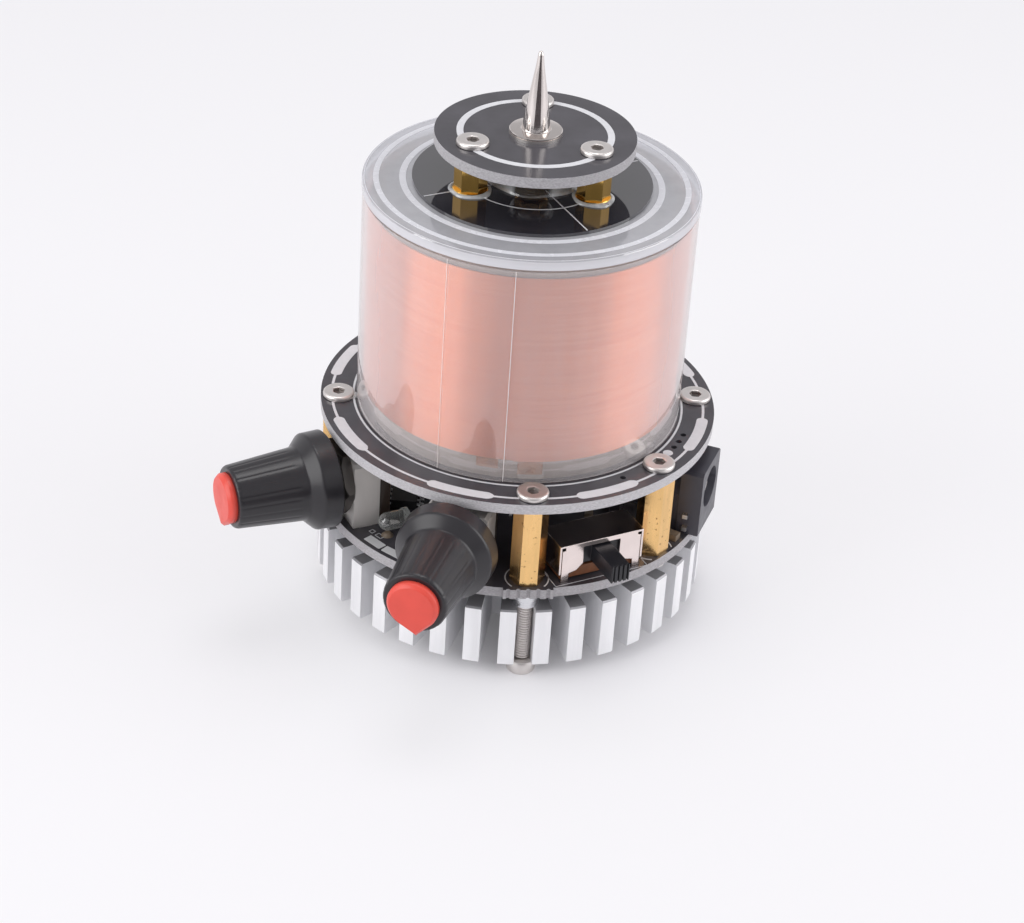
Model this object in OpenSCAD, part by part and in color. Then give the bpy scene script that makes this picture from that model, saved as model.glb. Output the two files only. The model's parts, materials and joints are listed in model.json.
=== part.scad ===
/* [Coil] */
// Outside diameter of the coil with its clear film
coil_d = 49.2; // [46:0.2:60]
// Height of the clear tube that carries the winding
coil_h = 35; // [28:0.5:60]
// Wall thickness of the clear tube
former_wall = 2; // [1.5:0.1:3]
// Thickness of the clear film round the winding
film_t = 0.2; // [0.15:0.05:0.4]
// Number of loops drawn in the outer layer of the winding
loops = 24; // [16:1:24]
// Diameter of the drawn winding tube
wire_d = 0.75; // [0.6:0.05:0.75]
// Straight lead below the winding
lead_low = 3.6; // [2:0.1:4]
// Straight lead above the winding
lead_high = 0.8; // [0.8:0.1:2]

/* [Boards] */
// Width of the board's rim outside the coil
rim_w = 5.4; // [5.2:0.1:9]
// Thickness of the two round boards and the small top board
board_t = 1.6; // [1.2:0.1:2.4]
// Length of the hex pillars between the boards
pillar_h = 13; // [12.5:0.5:20]
// Hex pillar size across flats
pillar_af = 4.5; // [4.2:0.1:5]
// Direction of the first pillar, in degrees right of the front
pillar_az = 6.5; // [0:0.5:10]
// Length of the round spacers between heatsink and lower board
spacer_h = 2.5; // [2:0.1:5]
// Outside diameter of the round spacers
spacer_d = 4; // [3.6:0.1:5]

/* [Heatsink] */
// Height of the finned heatsink
sink_h = 10; // [6:0.5:20]
// Number of radial fins
fin_count = 36; // [36:36:72]
// Radius of the solid core inside the fins
core_r = 17; // [14:0.5:20]
// Part of each fin pitch that is open
gap_share = 0.53; // [0.51:0.01:0.56]

/* [Screws] */
// Thread diameter of every screw
screw_d = 2.3; // [2:0.05:2.35]
// Diameter of the thin screw heads
head_d = 4.75; // [4.2:0.05:5]
// Height of the thin screw heads
head_h = 0.85; // [0.7:0.05:1.2]
// Diameter of the foot screws' tall heads
foot_d = 4.3; // [4:0.1:5]
// Height of the foot screws' tall heads, which lift the heatsink
foot_h = 2.2; // [1.8:0.1:3]
// Thread length held in a pillar or post
thread_in = 4; // [2.5:0.1:5]

/* [Knobs] */
// Direction of the left knob, in degrees right of the front
left_az = -62.7; // [-64:0.1:-58]
// Direction of the front knob, in degrees right of the front
front_az = -15.6; // [-19:0.1:-13]
// Radius of the knob's skirt
skirt_r = 7.4; // [7:0.1:9]
// Length of the knob without its cap
knob_l = 15.4; // [14:0.1:20]
// Radius of the knob's body at the shoulder
body_r = 5.6; // [5:0.1:6]
// Radius of the knob's body at its outer end
end_r = 4.75; // [4.4:0.05:5]
// Number of flutes round the body
flute_count = 20; // [12:1:24]
// Radius of the round part of the red cap
cap_r = 4; // [3.6:0.05:4.2]
// Distance from the cap's centre to its pointer's tip
cap_tip = 4.95; // [4.6:0.05:5.2]

/* [Potentiometers] */
// Height of the shaft above the lower board
shaft_h = 6.8; // [6.5:0.1:7.5]
// Diameter of the shaft
shaft_d = 6; // [5:0.1:6.2]
// Width of the metal shell
pot_w = 9.5; // [9.2:0.1:11]
// Height of the metal shell above the shaft's centre
pot_above = 4.2; // [3.9:0.1:5]
// Depth of the metal shell
pot_depth = 4.2; // [4:0.1:5]
// Distance of the shell's face behind the board's edge
pot_set = 1.3; // [1.2:0.1:2]

/* [Slide switch] */
// Direction of the switch, in degrees right of the front
switch_az = 28; // [27:0.1:30]
// Width of the switch frame
switch_w = 13.8; // [13:0.1:14]
// Height of the switch frame
switch_h = 6.3; // [6:0.1:7]
// Depth of the switch frame
switch_depth = 5.8; // [5.4:0.1:7]
// Width of the lever
lever_w = 2.9; // [2.6:0.05:3]
// Length of the lever outside the frame
lever_out = 6; // [3:0.1:8]
// Travel of the lever to each side of its middle place
lever_travel = 1.4; // [1:0.05:1.4]
// Distance of the switch's face behind the board's edge
switch_set = 1.7; // [1.5:0.1:2.5]

/* [Power jack] */
// Direction of the jack, in degrees right of the front
jack_az = 72; // [71:0.1:76]
// Width of the jack
jack_w = 9; // [8.6:0.1:9.5]
// Height of the jack's front block
jack_h = 11; // [10.8:0.1:12]
// Length of the jack
jack_l = 14.2; // [12:0.1:15]
// Diameter of the socket
socket_d = 6.4; // [6:0.1:6.6]
// Diameter of the centre pin
pin_d = 2; // [1.6:0.1:2.5]

/* [Top] */
// Thickness of the clear lid
lid_t = 1.5; // [1.2:0.1:3]
// Radius of the black disc on the lid
inner_r = 17.5; // [15:0.1:20]
// Thickness of the black disc on the lid
inner_t = 0.5; // [0.4:0.1:1]
// Length of the posts under the discharge disc
post_h = 5.6; // [5:0.1:10]
// Hex post size across flats
post_af = 4.2; // [4:0.1:5]
// Distance of the posts from the axis
post_r = 10.2; // [9.6:0.1:11.5]
// Radius of the discharge disc
disc_r = 14.6; // [14:0.1:18]
// Length of the needle above its flange
needle_l = 11.7; // [8:0.1:20]
// Largest diameter of the needle
needle_d = 3.8; // [3.4:0.1:4.4]
// Diameter of the needle's flange
flange_d = 7.7; // [7:0.1:9]

/* [Hidden] */
$fn = 96;

// Overrun of every cut
over = 0.5;
// Clearance of a fixed fit, a running fit, a screw hole and two fixed neighbours
fit = 0.03;
run = 0.08;
hole_gap = 0.2;
gap = 0.1;
// Small edge break on machined and moulded pieces
edge = 0.25;

// Round of the whole object, from the coil outwards
coil_r = coil_d / 2;
board_r = coil_r + rim_w;
pillar_r = coil_r + rim_w / 2;
sink_r = board_r;

// Heights of the stack, with zero at the surface that the foot screws stand on
z_sink = foot_h;
z_sink_top = z_sink + sink_h;
z_low = z_sink_top + spacer_h;
z_low_top = z_low + board_t;
z_up = z_low_top + pillar_h;
z_up_top = z_up + board_t;
z_lid = z_up_top + coil_h;
z_lid_top = z_lid + lid_t;
z_inner_top = z_lid_top + inner_t;
z_disc = z_inner_top + post_h;
z_disc_top = z_disc + board_t;

// Places round the boards: pillars stand at every step but the last, the parts in bays between
pillar_step = 45;
pillar_slots = [0 : 6];
foot_slots = [0 : 2 : 6];
short_slots = [1 : 2 : 5];
function slot_az(k) = pillar_az + k * pillar_step;
function bay_az(k) = slot_az(k + 0.5);
hole_d = screw_d + 2 * hole_gap;
thread_d = screw_d + hole_gap;

// Knob and potentiometer sizes that follow
knob_gap = 1.15;
shell_wall = 0.6;
pot_h = shaft_h + pot_above;
s_shell = board_r - pot_set;
s_shell_back = s_shell - pot_depth;
s_knob = board_r + knob_gap;
z_shaft = z_low_top + shaft_h;
skirt_l = 3.1;
shoulder_l = 1.6;
recess_r = 6.2;
recess_l = 3;
shaft_in_knob = 12.6;
plug_r = 3.2;
plug_l = 1.2;
cap_t = 1.4;
cap_slope = 0.55;
flute_r = 0.7;
flute_deep = 0.18;
flute_start = skirt_l + shoulder_l + 2 * edge;
bush_wall = 0.5;
bush_l = 4.8;
bush_r = shaft_d / 2 + run + bush_wall;
nut_af = 10;
nut_t = 1.6;
rotor_r = pot_above - shell_wall - 2 * run;
rotor_t = 1.5;
rotor_gap = 0.3;
wafer_out = 1.8;
wafer_in = 1.1;
pin_pitch = 2.5;
pin_w = 0.9;
pin_t = 0.4;
pin_below = 0.8;
wafer_pin_h = 4;
lug_w = 2;

// Slide switch sizes that follow
switch_side = 0.6;
sheet = 0.35;
s_switch = board_r - switch_set;
foot_tab_w = 1.2;
notch_h = 1.3;
cheek_h = 1.6;
slope = 1;
window_top = 5.45;
stop_gap = 0.15;
window_w = lever_w + 2 * (lever_travel + stop_gap);
seam_gap = 0.08;
corner_w = 0.5;
front_w = switch_w - 2 * (sheet + seam_gap);
base_t = 1.7;
base_up = 0.3;
slider_w = 9;
slider_low = 2.3;
slider_top = 5.7;
lever_low = 2.45;
lever_top = 5.2;
rib_w = 0.28;
rib_count = 4;
contact_t = 0.2;
switch_pin_x = 3;
switch_pin_s = 2;

// Power jack sizes that follow
jack_side = 0.7;
jack_out = 1.2;
s_jack = board_r + jack_out;
collar_l = 3.5;
socket_h = 6.5;
socket_deep = 9.5;
barrel_wall = 1;
jack_chamfer = 0.5;
blade_t = 0.4;
blade_w = 2.6;

// Winding that follows from the coil
loop_rings = 24;
tube_sides = 6;
film_r = coil_r - film_t;
wind_r = film_r - gap / 2 - wire_d / 2;
core_out_r = (wind_r - wire_d / 2) * cos(180 / loop_rings) - gap;
core_t = 0.2;
former_r = core_out_r - core_t - gap / 2;
bore_r = former_r - former_wall;
wind_low = z_up_top + lead_low;
wind_len = coil_h - lead_low - lead_high;
lead_bend = 1;
loop_pitch = (wind_len - 2 * lead_bend) / loops;
seam_az = -4;
seam_sweep = 22;

// Primary coil, a flat spiral on the upper board inside the tube
primary_wire = 1;
primary_turns = 6;
primary_r = 8.5;
primary_pitch = 1.6;

// Top pieces that follow
post_azs = [-60, 60, 180];
stud_d = 2;
spigot_h = 0.8;
lid_hole_r = 3;
collar_r = 2.6;
collar_t = 0.45;
post_glue_r = 3.3;
post_glue_h = 0.7;
nut_h = 2.5;
high_glue_r = 2.9;
low_glue_r = 5.5;
low_glue_h = 1.5;
washer_t = 0.4;
flange_t = 0.6;
needle_tip_r = 0.35;

// Places given from the front, turning to the right, with the outward way along -Y
module at_az(az, r) {
    rotate([0, 0, az]) translate([0, -r, 0]) children();
}

// The same place with the piece's own +Z turned outwards and its +Y kept up
module outward(az, s, z, side = 0) {
    rotate([0, 0, az]) translate([side, -s, z]) rotate([90, 0, 0]) children();
}

// Cylinder with both ends broken by a chamfer
module chamfered(r, h, c) {
    rotate_extrude()
        polygon([[0, 0], [r - c, 0], [r, c], [r, h - c], [r - c, h], [0, h]]);
}

// Hex bar from its size across flats
module hex_bar(af, h) {
    cylinder(r = af / 2 / cos(30), h = h, $fn = 6);
}

// Hex bar whose corners are turned off at both ends
module turned_hex(af, h, c) {
    intersection() {
        hex_bar(af, h);
        chamfered(af / 2 / cos(30), h, c);
    }
}

// Tube between two radii
module ring(r_out, r_in, h) {
    difference() {
        cylinder(r = r_out, h = h);
        translate([0, 0, -over]) cylinder(r = r_in, h = h + 2 * over);
    }
}

// Rectangle about the origin in X, from the origin up in Y
module standing(w, h) {
    translate([-w / 2, 0]) square([w, h]);
}

// Hex-socket screw with its head up, its thread pointing down from the seat
module screw(d, h, shank, socket_share = 0.38) {
    difference() {
        chamfered(d / 2, h, edge);
        translate([0, 0, h * 0.4]) hex_bar(d * socket_share, h);
    }
    translate([0, 0, -shank]) cylinder(d = screw_d, h = shank + h * 0.2);
}

// Heatsink
module fin_gap() {
    half = 360 / fin_count * gap_share / 2;
    far = sink_r + over;
    polygon([[core_r * sin(-half), -core_r * cos(half)], [far * sin(-half), -far * cos(half)],
        [far * sin(half), -far * cos(half)], [core_r * sin(half), -core_r * cos(half)]]);
}

module heatsink() {
    color("#c9cacd") translate([0, 0, z_sink]) difference() {
        chamfered(sink_r, sink_h, edge);
        for (i = [0 : fin_count - 1])
            rotate([0, 0, pillar_az + i * 360 / fin_count]) translate([0, 0, -over])
                linear_extrude(sink_h + 2 * over) fin_gap();
    }
}

module heatsink_screws() {
    color("#b5b5b8") for (k = foot_slots) at_az(slot_az(k), pillar_r)
        translate([0, 0, z_sink]) mirror([0, 0, 1])
            screw(foot_d, foot_h, sink_h + spacer_h + board_t + thread_in, 0.47);
}

module board_spacers() {
    color("#d3d4d8") for (k = foot_slots) at_az(slot_az(k), pillar_r)
        translate([0, 0, z_sink_top]) ring(spacer_d / 2, hole_d / 2, spacer_h);
}

// Boards
module board_blank(holes) {
    difference() {
        cylinder(r = board_r, h = board_t);
        for (k = holes) at_az(slot_az(k), pillar_r) translate([0, 0, -over])
            cylinder(d = hole_d, h = board_t + 2 * over);
    }
}

// Stub where the board was broken out of its panel, with its row of half holes
module broken_tab() {
    tab_w = 7.4;
    tab_out = 0.35;
    bite_r = 0.3;
    at_az(pillar_az, board_r) difference() {
        translate([-tab_w / 2, -tab_out, 0]) cube([tab_w, tab_out + over, board_t]);
        for (i = [-2 : 2]) translate([i * tab_w / 5, -tab_out, -over])
            cylinder(r = bite_r, h = board_t + 2 * over);
    }
}

module lower_board() {
    color("#232227") translate([0, 0, z_low]) {
        difference() {
            board_blank(pillar_slots);
            translate([0, 0, -over]) linear_extrude(board_t + 2 * over) {
                pot_pins_outline(left_az, gap);
                pot_pins_outline(front_az, gap);
                switch_pins_outline(gap);
                jack_pins_outline(gap);
                capacitor_leads_outline(gap);
                led_leads_outline(gap);
            }
        }
        broken_tab();
    }
}

module lower_board_screws() {
    color("#b5b5b8") for (k = short_slots) at_az(slot_az(k), pillar_r)
        translate([0, 0, z_low]) mirror([0, 0, 1]) screw(head_d, head_h, board_t + thread_in);
}

module board_pillars() {
    color("#d9a95c") for (k = pillar_slots) at_az(slot_az(k), pillar_r)
        translate([0, 0, z_low_top]) difference() {
            turned_hex(pillar_af, pillar_h, edge);
            translate([0, 0, -over]) cylinder(d = thread_d, h = pillar_h + 2 * over);
        }
}

module upper_board() {
    via_r = 0.45;
    via_inset = 3.65;
    via_steps = [[1, -10], [1, -6], [1, -1.5], [0, 8.6]];
    color("#232227") translate([0, 0, z_up]) difference() {
        board_blank(pillar_slots);
        for (v = via_steps) at_az(bay_az(v[0]) + v[1], board_r - via_inset)
            translate([0, 0, -over]) cylinder(r = via_r, h = board_t + 2 * over);
        for (x = [primary_r, primary_r + primary_turns * primary_pitch])
            translate([x, 0, -over])
                cylinder(d = primary_wire + 2 * gap, h = board_t + 2 * over);
    }
}

module upper_board_screws() {
    color("#c9c5c4") for (k = pillar_slots) at_az(slot_az(k), pillar_r)
        translate([0, 0, z_up_top]) screw(head_d, head_h, board_t + thread_in);
}

// Electronics between the boards and under the lower one
transistor = [6.6, 6.1];
transistor_x = 8;
pad_t = 0.4;
pad_margin = 1;
transistor_h = spacer_h - pad_t;

module power_transistors() {
    tab_l = 1.1;
    lead_w = 0.8;
    lead_l = 2;
    lead_t = 0.5;
    color("#2a2a2d") for (side = [-1, 1]) translate([side * transistor_x, 0, z_low - transistor_h]) {
        translate([-transistor[0] / 2, -transistor[1] / 2, 0])
            cube([transistor[0], transistor[1], transistor_h]);
        translate([-transistor[0] * 0.4, transistor[1] / 2, transistor_h - lead_t])
            cube([transistor[0] * 0.8, tab_l, lead_t]);
        for (leg = [-1, 1])
            translate([leg * transistor[0] * 0.35 - lead_w / 2, -transistor[1] / 2 - lead_l,
                    transistor_h - lead_t])
                cube([lead_w, lead_l, lead_t]);
    }
}

module thermal_pads() {
    pad = [transistor[0] + pad_margin, transistor[1] + 2 * pad_margin];
    color("#8a93a3") for (side = [-1, 1])
        translate([side * transistor_x - pad[0] / 2, -pad[1] / 2, z_sink_top])
            cube([pad[0], pad[1], pad_t]);
}

// Chips: place, turn, body size and pins on each side
chip_lift = 0.1;
chip_h = 1.5;
leg_pitch = 1.27;
leg_w = 0.4;
leg_out = 1.05;
leg_t = 0.2;
chip_w = 3.9;
chip_end = 0.5;
// Place on the board as shares of its radius, turn, and pins on each side
chip_shares = [[-0.54, -0.213, 0, 8], [0.067, -0.267, 90, 4]];
function chip_l(pins) = (pins - 1) * leg_pitch + 2 * chip_end;

module driver_chips() {
    color("#26262a") for (c = chip_shares)
        translate([c[0] * board_r, c[1] * board_r, z_low_top + chip_lift]) rotate([0, 0, c[2]])
            translate([-chip_w / 2, -chip_l(c[3]) / 2, 0]) cube([chip_w, chip_l(c[3]), chip_h]);
}

module chip_leg() {
    leg_h = chip_lift + chip_h / 2;
    rotate([90, 0, 0]) translate([0, 0, -leg_w / 2]) linear_extrude(leg_w)
        polygon([[0, leg_h], [leg_out / 2, leg_h], [leg_out / 2, leg_t], [leg_out, leg_t],
            [leg_out, 0], [leg_out / 2 - leg_t, 0], [leg_out / 2 - leg_t, leg_h - leg_t],
            [0, leg_h - leg_t]]);
}

module chip_legs() {
    color("#c8c8cc") for (c = chip_shares)
        translate([c[0] * board_r, c[1] * board_r, z_low_top]) rotate([0, 0, c[2]])
            for (side = [0, 180], i = [0 : c[3] - 1]) rotate([0, 0, side])
                translate([chip_w / 2, (i - (c[3] - 1) / 2) * leg_pitch, 0]) chip_leg();
}

cap_can_r = 4;
cap_can_h = 11;
cap_lift = 0.3;
cap_lead_x = 1.75;
cap_lead_r = 0.3;
cap_place_shares = [[-0.233, 0.4], [0.133, 0.5]];

module capacitor_leads_outline(grow) {
    for (p = cap_place_shares * board_r, side = [-1, 1])
        translate([p[0] + side * cap_lead_x, p[1]]) circle(r = cap_lead_r + grow);
}

module bulk_capacitors() {
    color("#2b2d33") {
        for (p = cap_place_shares * board_r) translate([p[0], p[1], z_low_top + cap_lift])
            chamfered(cap_can_r, cap_can_h, edge);
        translate([0, 0, z_low - pin_below])
            linear_extrude(board_t + pin_below + cap_lift) capacitor_leads_outline(0);
    }
}

// Chip resistors and capacitors, the solder joint and the small diode by the jack
small_part = [2, 1.25, 0.6];
// Places as shares of the board's radius, with the turn of each part
small_place_shares = [[-0.3, -0.1, 90], [-0.3, -0.217, 90], [-0.3, -0.333, 90],
    [-0.133, -0.467, 0], [0.3, -0.467, 0], [0.4, -0.3, 90], [0.5, 0.1, 90],
    [-0.467, 0.133, 0], [0.333, 0.133, 90], [-0.62, 0.133, 90]];
diode = [1.4, 2.4, 1];
diode_in = 1.9;
solder_r = 0.95;
solder_h = 0.5;
solder_place_share = [-0.603, -0.613];

module small_parts() {
    color("#6f6a63") translate([0, 0, z_low_top]) {
        for (p = small_place_shares)
            translate([p[0] * board_r, p[1] * board_r, 0]) rotate([0, 0, p[2]])
                translate([-small_part[0] / 2, -small_part[1] / 2, 0]) cube(small_part);
        at_az(slot_az(1) + pillar_step * 0.2, board_r - diode_in)
            translate([-diode[0] / 2, -diode[1] / 2, 0]) cube(diode);
        translate(solder_place_share * board_r)
            cylinder(r1 = solder_r, r2 = solder_r * 0.45, h = solder_h);
    }
}

// Clear lamp that lies on the board beside the left potentiometer
led_r = 1.4;
led_l = 2.6;
led_flange_r = 1.6;
led_flange_t = 0.7;
led_lead_l = 1;
led_lead_r = 0.25;
led_pitch = 1.27;
led_place_share = [-0.51, -0.52];
led_turn = 28;
function led_place() = led_place_share * board_r;

module led_leads_outline(grow) {
    translate(led_place()) rotate([0, 0, led_turn])
        for (side = [-1, 1]) translate([led_lead_l, side * led_pitch / 2])
            circle(r = led_lead_r + grow);
}

module status_led() {
    color("#dfe3e6", 0.6) {
        translate([led_place()[0], led_place()[1], z_low_top + led_flange_r])
            rotate([0, 0, led_turn]) rotate([0, -90, 0]) {
                cylinder(r = led_flange_r, h = led_flange_t);
                cylinder(r = led_r, h = led_flange_t + led_l);
                translate([0, 0, led_flange_t + led_l]) sphere(r = led_r);
                for (side = [-1, 1]) translate([0, side * led_pitch / 2, -led_lead_l])
                    cylinder(r = led_lead_r, h = led_lead_l + edge);
            }
        translate([0, 0, z_low - pin_below])
            linear_extrude(board_t + pin_below + led_flange_r) led_leads_outline(0);
    }
}

// Potentiometers
function pot_back() = s_shell_back - wafer_out;

// Plan of the pins and lugs where they pass through the lower board
module pot_pins_outline(az, grow) {
    rotate([0, 0, az]) {
        for (i = [-1 : 1])
            translate([i * pin_pitch - pin_w / 2 - grow, -pot_back() - grow])
                square([pin_w + 2 * grow, pin_t + 2 * grow]);
        for (side = [-1, 1])
            translate([side * (pot_w - shell_wall) / 2 - shell_wall / 2 - grow,
                    -s_shell + pot_depth / 2 - lug_w / 2 - grow])
                square([shell_wall + 2 * grow, lug_w + 2 * grow]);
    }
}

module pot_shell(az) {
    corner = 2 * edge;
    low = -shaft_h;
    high = pot_h - shaft_h;
    color("#8d8a88") {
        difference() {
            outward(az, s_shell_back, z_shaft) linear_extrude(pot_depth)
                polygon([[-pot_w / 2, low], [-pot_w / 2, high - corner],
                    [corner - pot_w / 2, high], [pot_w / 2 - corner, high],
                    [pot_w / 2, high - corner], [pot_w / 2, low]]);
            outward(az, s_shell_back - over, z_shaft) linear_extrude(pot_depth - shell_wall + over)
                translate([shell_wall - pot_w / 2, low + shell_wall])
                    square([pot_w - 2 * shell_wall, pot_h - 2 * shell_wall]);
            outward(az, s_shell - shell_wall - over, z_shaft)
                cylinder(r = bush_r + fit, h = shell_wall + 2 * over);
        }
        for (side = [-1, 1]) rotate([0, 0, az])
            translate([side * (pot_w - shell_wall) / 2 - shell_wall / 2,
                    -s_shell + pot_depth / 2 - lug_w / 2, z_low - pin_below])
                cube([shell_wall, lug_w, board_t + pin_below + shell_wall]);
    }
}

module pot_wafer(az) {
    inside_w = pot_w - 2 * shell_wall - 2 * gap;
    inside_h = pot_h - 2 * shell_wall - 2 * gap;
    color("#3a3230") {
        outward(az, pot_back(), z_low_top) linear_extrude(wafer_out)
            standing(pot_w - 2 * edge, pot_h - 2 * edge);
        outward(az, pot_back(), z_low_top + shell_wall + gap) linear_extrude(wafer_out + wafer_in)
            standing(inside_w, inside_h);
    }
}

module pot_terminals(az) {
    color("#c8c8cc") for (i = [-1 : 1]) rotate([0, 0, az])
        translate([i * pin_pitch - pin_w / 2, -pot_back(), z_low - pin_below])
            cube([pin_w, pin_t, board_t + pin_below + wafer_pin_h]);
}

module pot_bush(az) {
    color("#b9b7b4") outward(az, s_shell - shell_wall, z_shaft) difference() {
        chamfered(bush_r, shell_wall + bush_l, edge / 2);
        translate([0, 0, -over])
            cylinder(d = shaft_d + 2 * run, h = shell_wall + bush_l + 2 * over);
    }
}

module pot_nut(az) {
    color("#b9b7b4") outward(az, s_shell, z_shaft) difference() {
        turned_hex(nut_af, nut_t, 2 * edge);
        translate([0, 0, -over]) cylinder(r = bush_r + fit, h = nut_t + 2 * over);
    }
}

module pot_shaft(az) {
    s_rotor = s_shell - shell_wall - rotor_gap - rotor_t;
    end = s_knob + shaft_in_knob - edge;
    color("#d8d4cc") {
        outward(az, s_rotor, z_shaft) cylinder(r = rotor_r, h = rotor_t);
        outward(az, s_rotor, z_shaft) chamfered(shaft_d / 2, end - s_rotor, edge);
    }
}

// Fluted knob with a wide skirt, hollow at the back and bored for the shaft
module knob(az) {
    body_l = knob_l - skirt_l - shoulder_l;
    taper = atan((body_r - end_r) / body_l);
    // The flutes start at full depth at the small end and run out short of the shoulder
    run_out = atan(flute_deep / (knob_l - flute_start));
    color("#2e2c30") outward(az, s_knob, z_shaft) difference() {
        rotate_extrude() polygon([[0, 0], [skirt_r, 0], [skirt_r, skirt_l - edge],
            [skirt_r - edge, skirt_l + edge], [body_r, skirt_l + shoulder_l],
            [end_r, knob_l - edge], [end_r - edge, knob_l], [0, knob_l]]);
        for (i = [0 : flute_count - 1]) rotate([0, 0, (i + 0.5) * 360 / flute_count])
            translate([end_r - flute_deep + flute_r, 0, knob_l])
                rotate([0, 180 + taper + run_out, 0]) translate([0, 0, -over])
                    cylinder(r = flute_r, h = knob_l - flute_start + over);
        translate([0, 0, -over]) cylinder(r = recess_r, h = recess_l + over);
        cylinder(d = shaft_d + 2 * fit, h = shaft_in_knob);
        translate([0, 0, knob_l - plug_l]) cylinder(r = plug_r, h = plug_l + over);
    }
}

// Drop-shaped cap whose tip is the pointer, with its plug in the knob's end
module drop_outline(r, tip) {
    side = acos(r / tip);
    circle(r = r);
    polygon([[0, -tip], [r * sin(side), -r * cos(side)], [-r * sin(side), -r * cos(side)]]);
}

module knob_cap(az, pointer) {
    color("#e5544f") outward(az, s_knob + knob_l, z_shaft) rotate([0, 0, pointer]) {
        hull() {
            linear_extrude(cap_t - cap_slope) drop_outline(cap_r, cap_tip);
            linear_extrude(cap_t) drop_outline(cap_r - cap_slope, cap_tip - cap_slope * 1.2);
        }
        translate([0, 0, fit - plug_l]) cylinder(r = plug_r - fit, h = plug_l);
    }
}

module left_pot_shell() { pot_shell(left_az); }
module left_pot_wafer() { pot_wafer(left_az); }
module left_pot_terminals() { pot_terminals(left_az); }
module left_pot_bush() { pot_bush(left_az); }
module left_pot_nut() { pot_nut(left_az); }
module left_pot_shaft() { pot_shaft(left_az); }
module left_knob() { knob(left_az); }
module left_knob_cap() { knob_cap(left_az, 0); }
module front_pot_shell() { pot_shell(front_az); }
module front_pot_wafer() { pot_wafer(front_az); }
module front_pot_terminals() { pot_terminals(front_az); }
module front_pot_bush() { pot_bush(front_az); }
module front_pot_nut() { pot_nut(front_az); }
module front_pot_shaft() { pot_shaft(front_az); }
module front_knob() { knob(front_az); }
module front_knob_cap() { knob_cap(front_az, 9); }

// Slide switch, with its front face set back from the board's edge
function switch_back() = s_switch - switch_depth;

module switch_pins_outline(grow) {
    rotate([0, 0, switch_az]) translate([switch_side, 0]) {
        for (i = [-1.5 : 1.5], row = [-1, 1])
            translate([i * switch_pin_x - pin_w / 2 - grow,
                    -s_switch + switch_depth / 2 + row * switch_pin_s / 2 - pin_t / 2 - grow])
                square([pin_w + 2 * grow, pin_t + 2 * grow]);
        for (side = [-1, 1])
            translate([side * (front_w - foot_tab_w) / 2 - foot_tab_w / 2 - grow,
                    -s_switch - grow])
                square([foot_tab_w + 2 * grow, sheet + 2 * grow]);
    }
}

// Front sheet with its window, open downwards between two cheeks with sloped corners, and with
// its top corners cut away for the folds
module switch_front_outline() {
    half = front_w / 2;
    foot = half - foot_tab_w;
    open = window_w / 2;
    fold = switch_h - sheet - corner_w;
    polygon([[-half, -board_t], [-half, fold], [corner_w - half, fold],
        [corner_w - half, switch_h], [half - corner_w, switch_h], [half - corner_w, fold],
        [half, fold], [half, -board_t],
        [foot, -board_t], [foot, notch_h], [open + slope, cheek_h], [open, cheek_h + slope],
        [open, window_top], [-open, window_top], [-open, cheek_h + slope],
        [-open - slope, cheek_h], [-foot, notch_h], [-foot, -board_t]]);
}

module switch_frame() {
    color("#cfc4bf") {
        outward(switch_az, s_switch - sheet, z_low_top, switch_side)
            linear_extrude(sheet) switch_front_outline();
        outward(switch_az, switch_back(), z_low_top, switch_side) {
            linear_extrude(switch_depth) translate([0, switch_h - sheet]) standing(switch_w, sheet);
            linear_extrude(sheet) translate([0, notch_h]) standing(switch_w, switch_h - notch_h);
        }
        for (side = [-1, 1])
            outward(switch_az, switch_back(), z_low_top + notch_h,
                    switch_side + side * (switch_w - sheet) / 2)
                linear_extrude(switch_depth) standing(sheet, switch_h - notch_h);
    }
}

module switch_base() {
    color("#b98f5e")
        outward(switch_az, switch_back() + sheet + gap, z_low_top + base_up, switch_side)
            linear_extrude(switch_depth - 2 * sheet - 2 * gap)
                standing(switch_w - 2 * sheet - 2 * gap, base_t);
}

module switch_terminals() {
    color("#c8c8cc") translate([0, 0, z_low - pin_below])
        linear_extrude(board_t + pin_below + base_up)
            rotate([0, 0, switch_az]) translate([switch_side, 0])
                for (i = [-1.5 : 1.5], row = [-1, 1])
                    translate([i * switch_pin_x - pin_w / 2,
                            -s_switch + switch_depth / 2 + row * switch_pin_s / 2 - pin_t / 2])
                        square([pin_w, pin_t]);
}

module switch_slider() {
    block_l = switch_depth - 2 * sheet - 4 * gap;
    reach = sheet + 2 * gap + lever_out;
    color("#2b2b31") {
        outward(switch_az, switch_back() + sheet + 2 * gap, z_low_top + slider_low, switch_side)
            linear_extrude(block_l) standing(slider_w, slider_top - slider_low);
        outward(switch_az, s_switch - sheet - 2 * gap, z_low_top + lever_low, switch_side)
            difference() {
                linear_extrude(reach) standing(lever_w, lever_top - lever_low);
                for (i = [0 : rib_count - 1])
                    translate([(i - (rib_count - 1) / 2) * lever_w / rib_count - rib_w / 2,
                            -over, reach - rib_w])
                        cube([rib_w, lever_top - lever_low + 2 * over, rib_w + over]);
            }
    }
}

module switch_contacts() {
    contact_w = 1.1;
    color("#c98f5a") for (row = [-1, 1])
        outward(switch_az, s_switch - switch_depth / 2 + row * switch_pin_s / 2 - contact_w / 2,
                z_low_top + slider_low - contact_t, switch_side)
            linear_extrude(contact_w) standing(slider_w * 0.8, contact_t);
}

// Power jack
function jack_back() = s_jack - jack_l;

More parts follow.
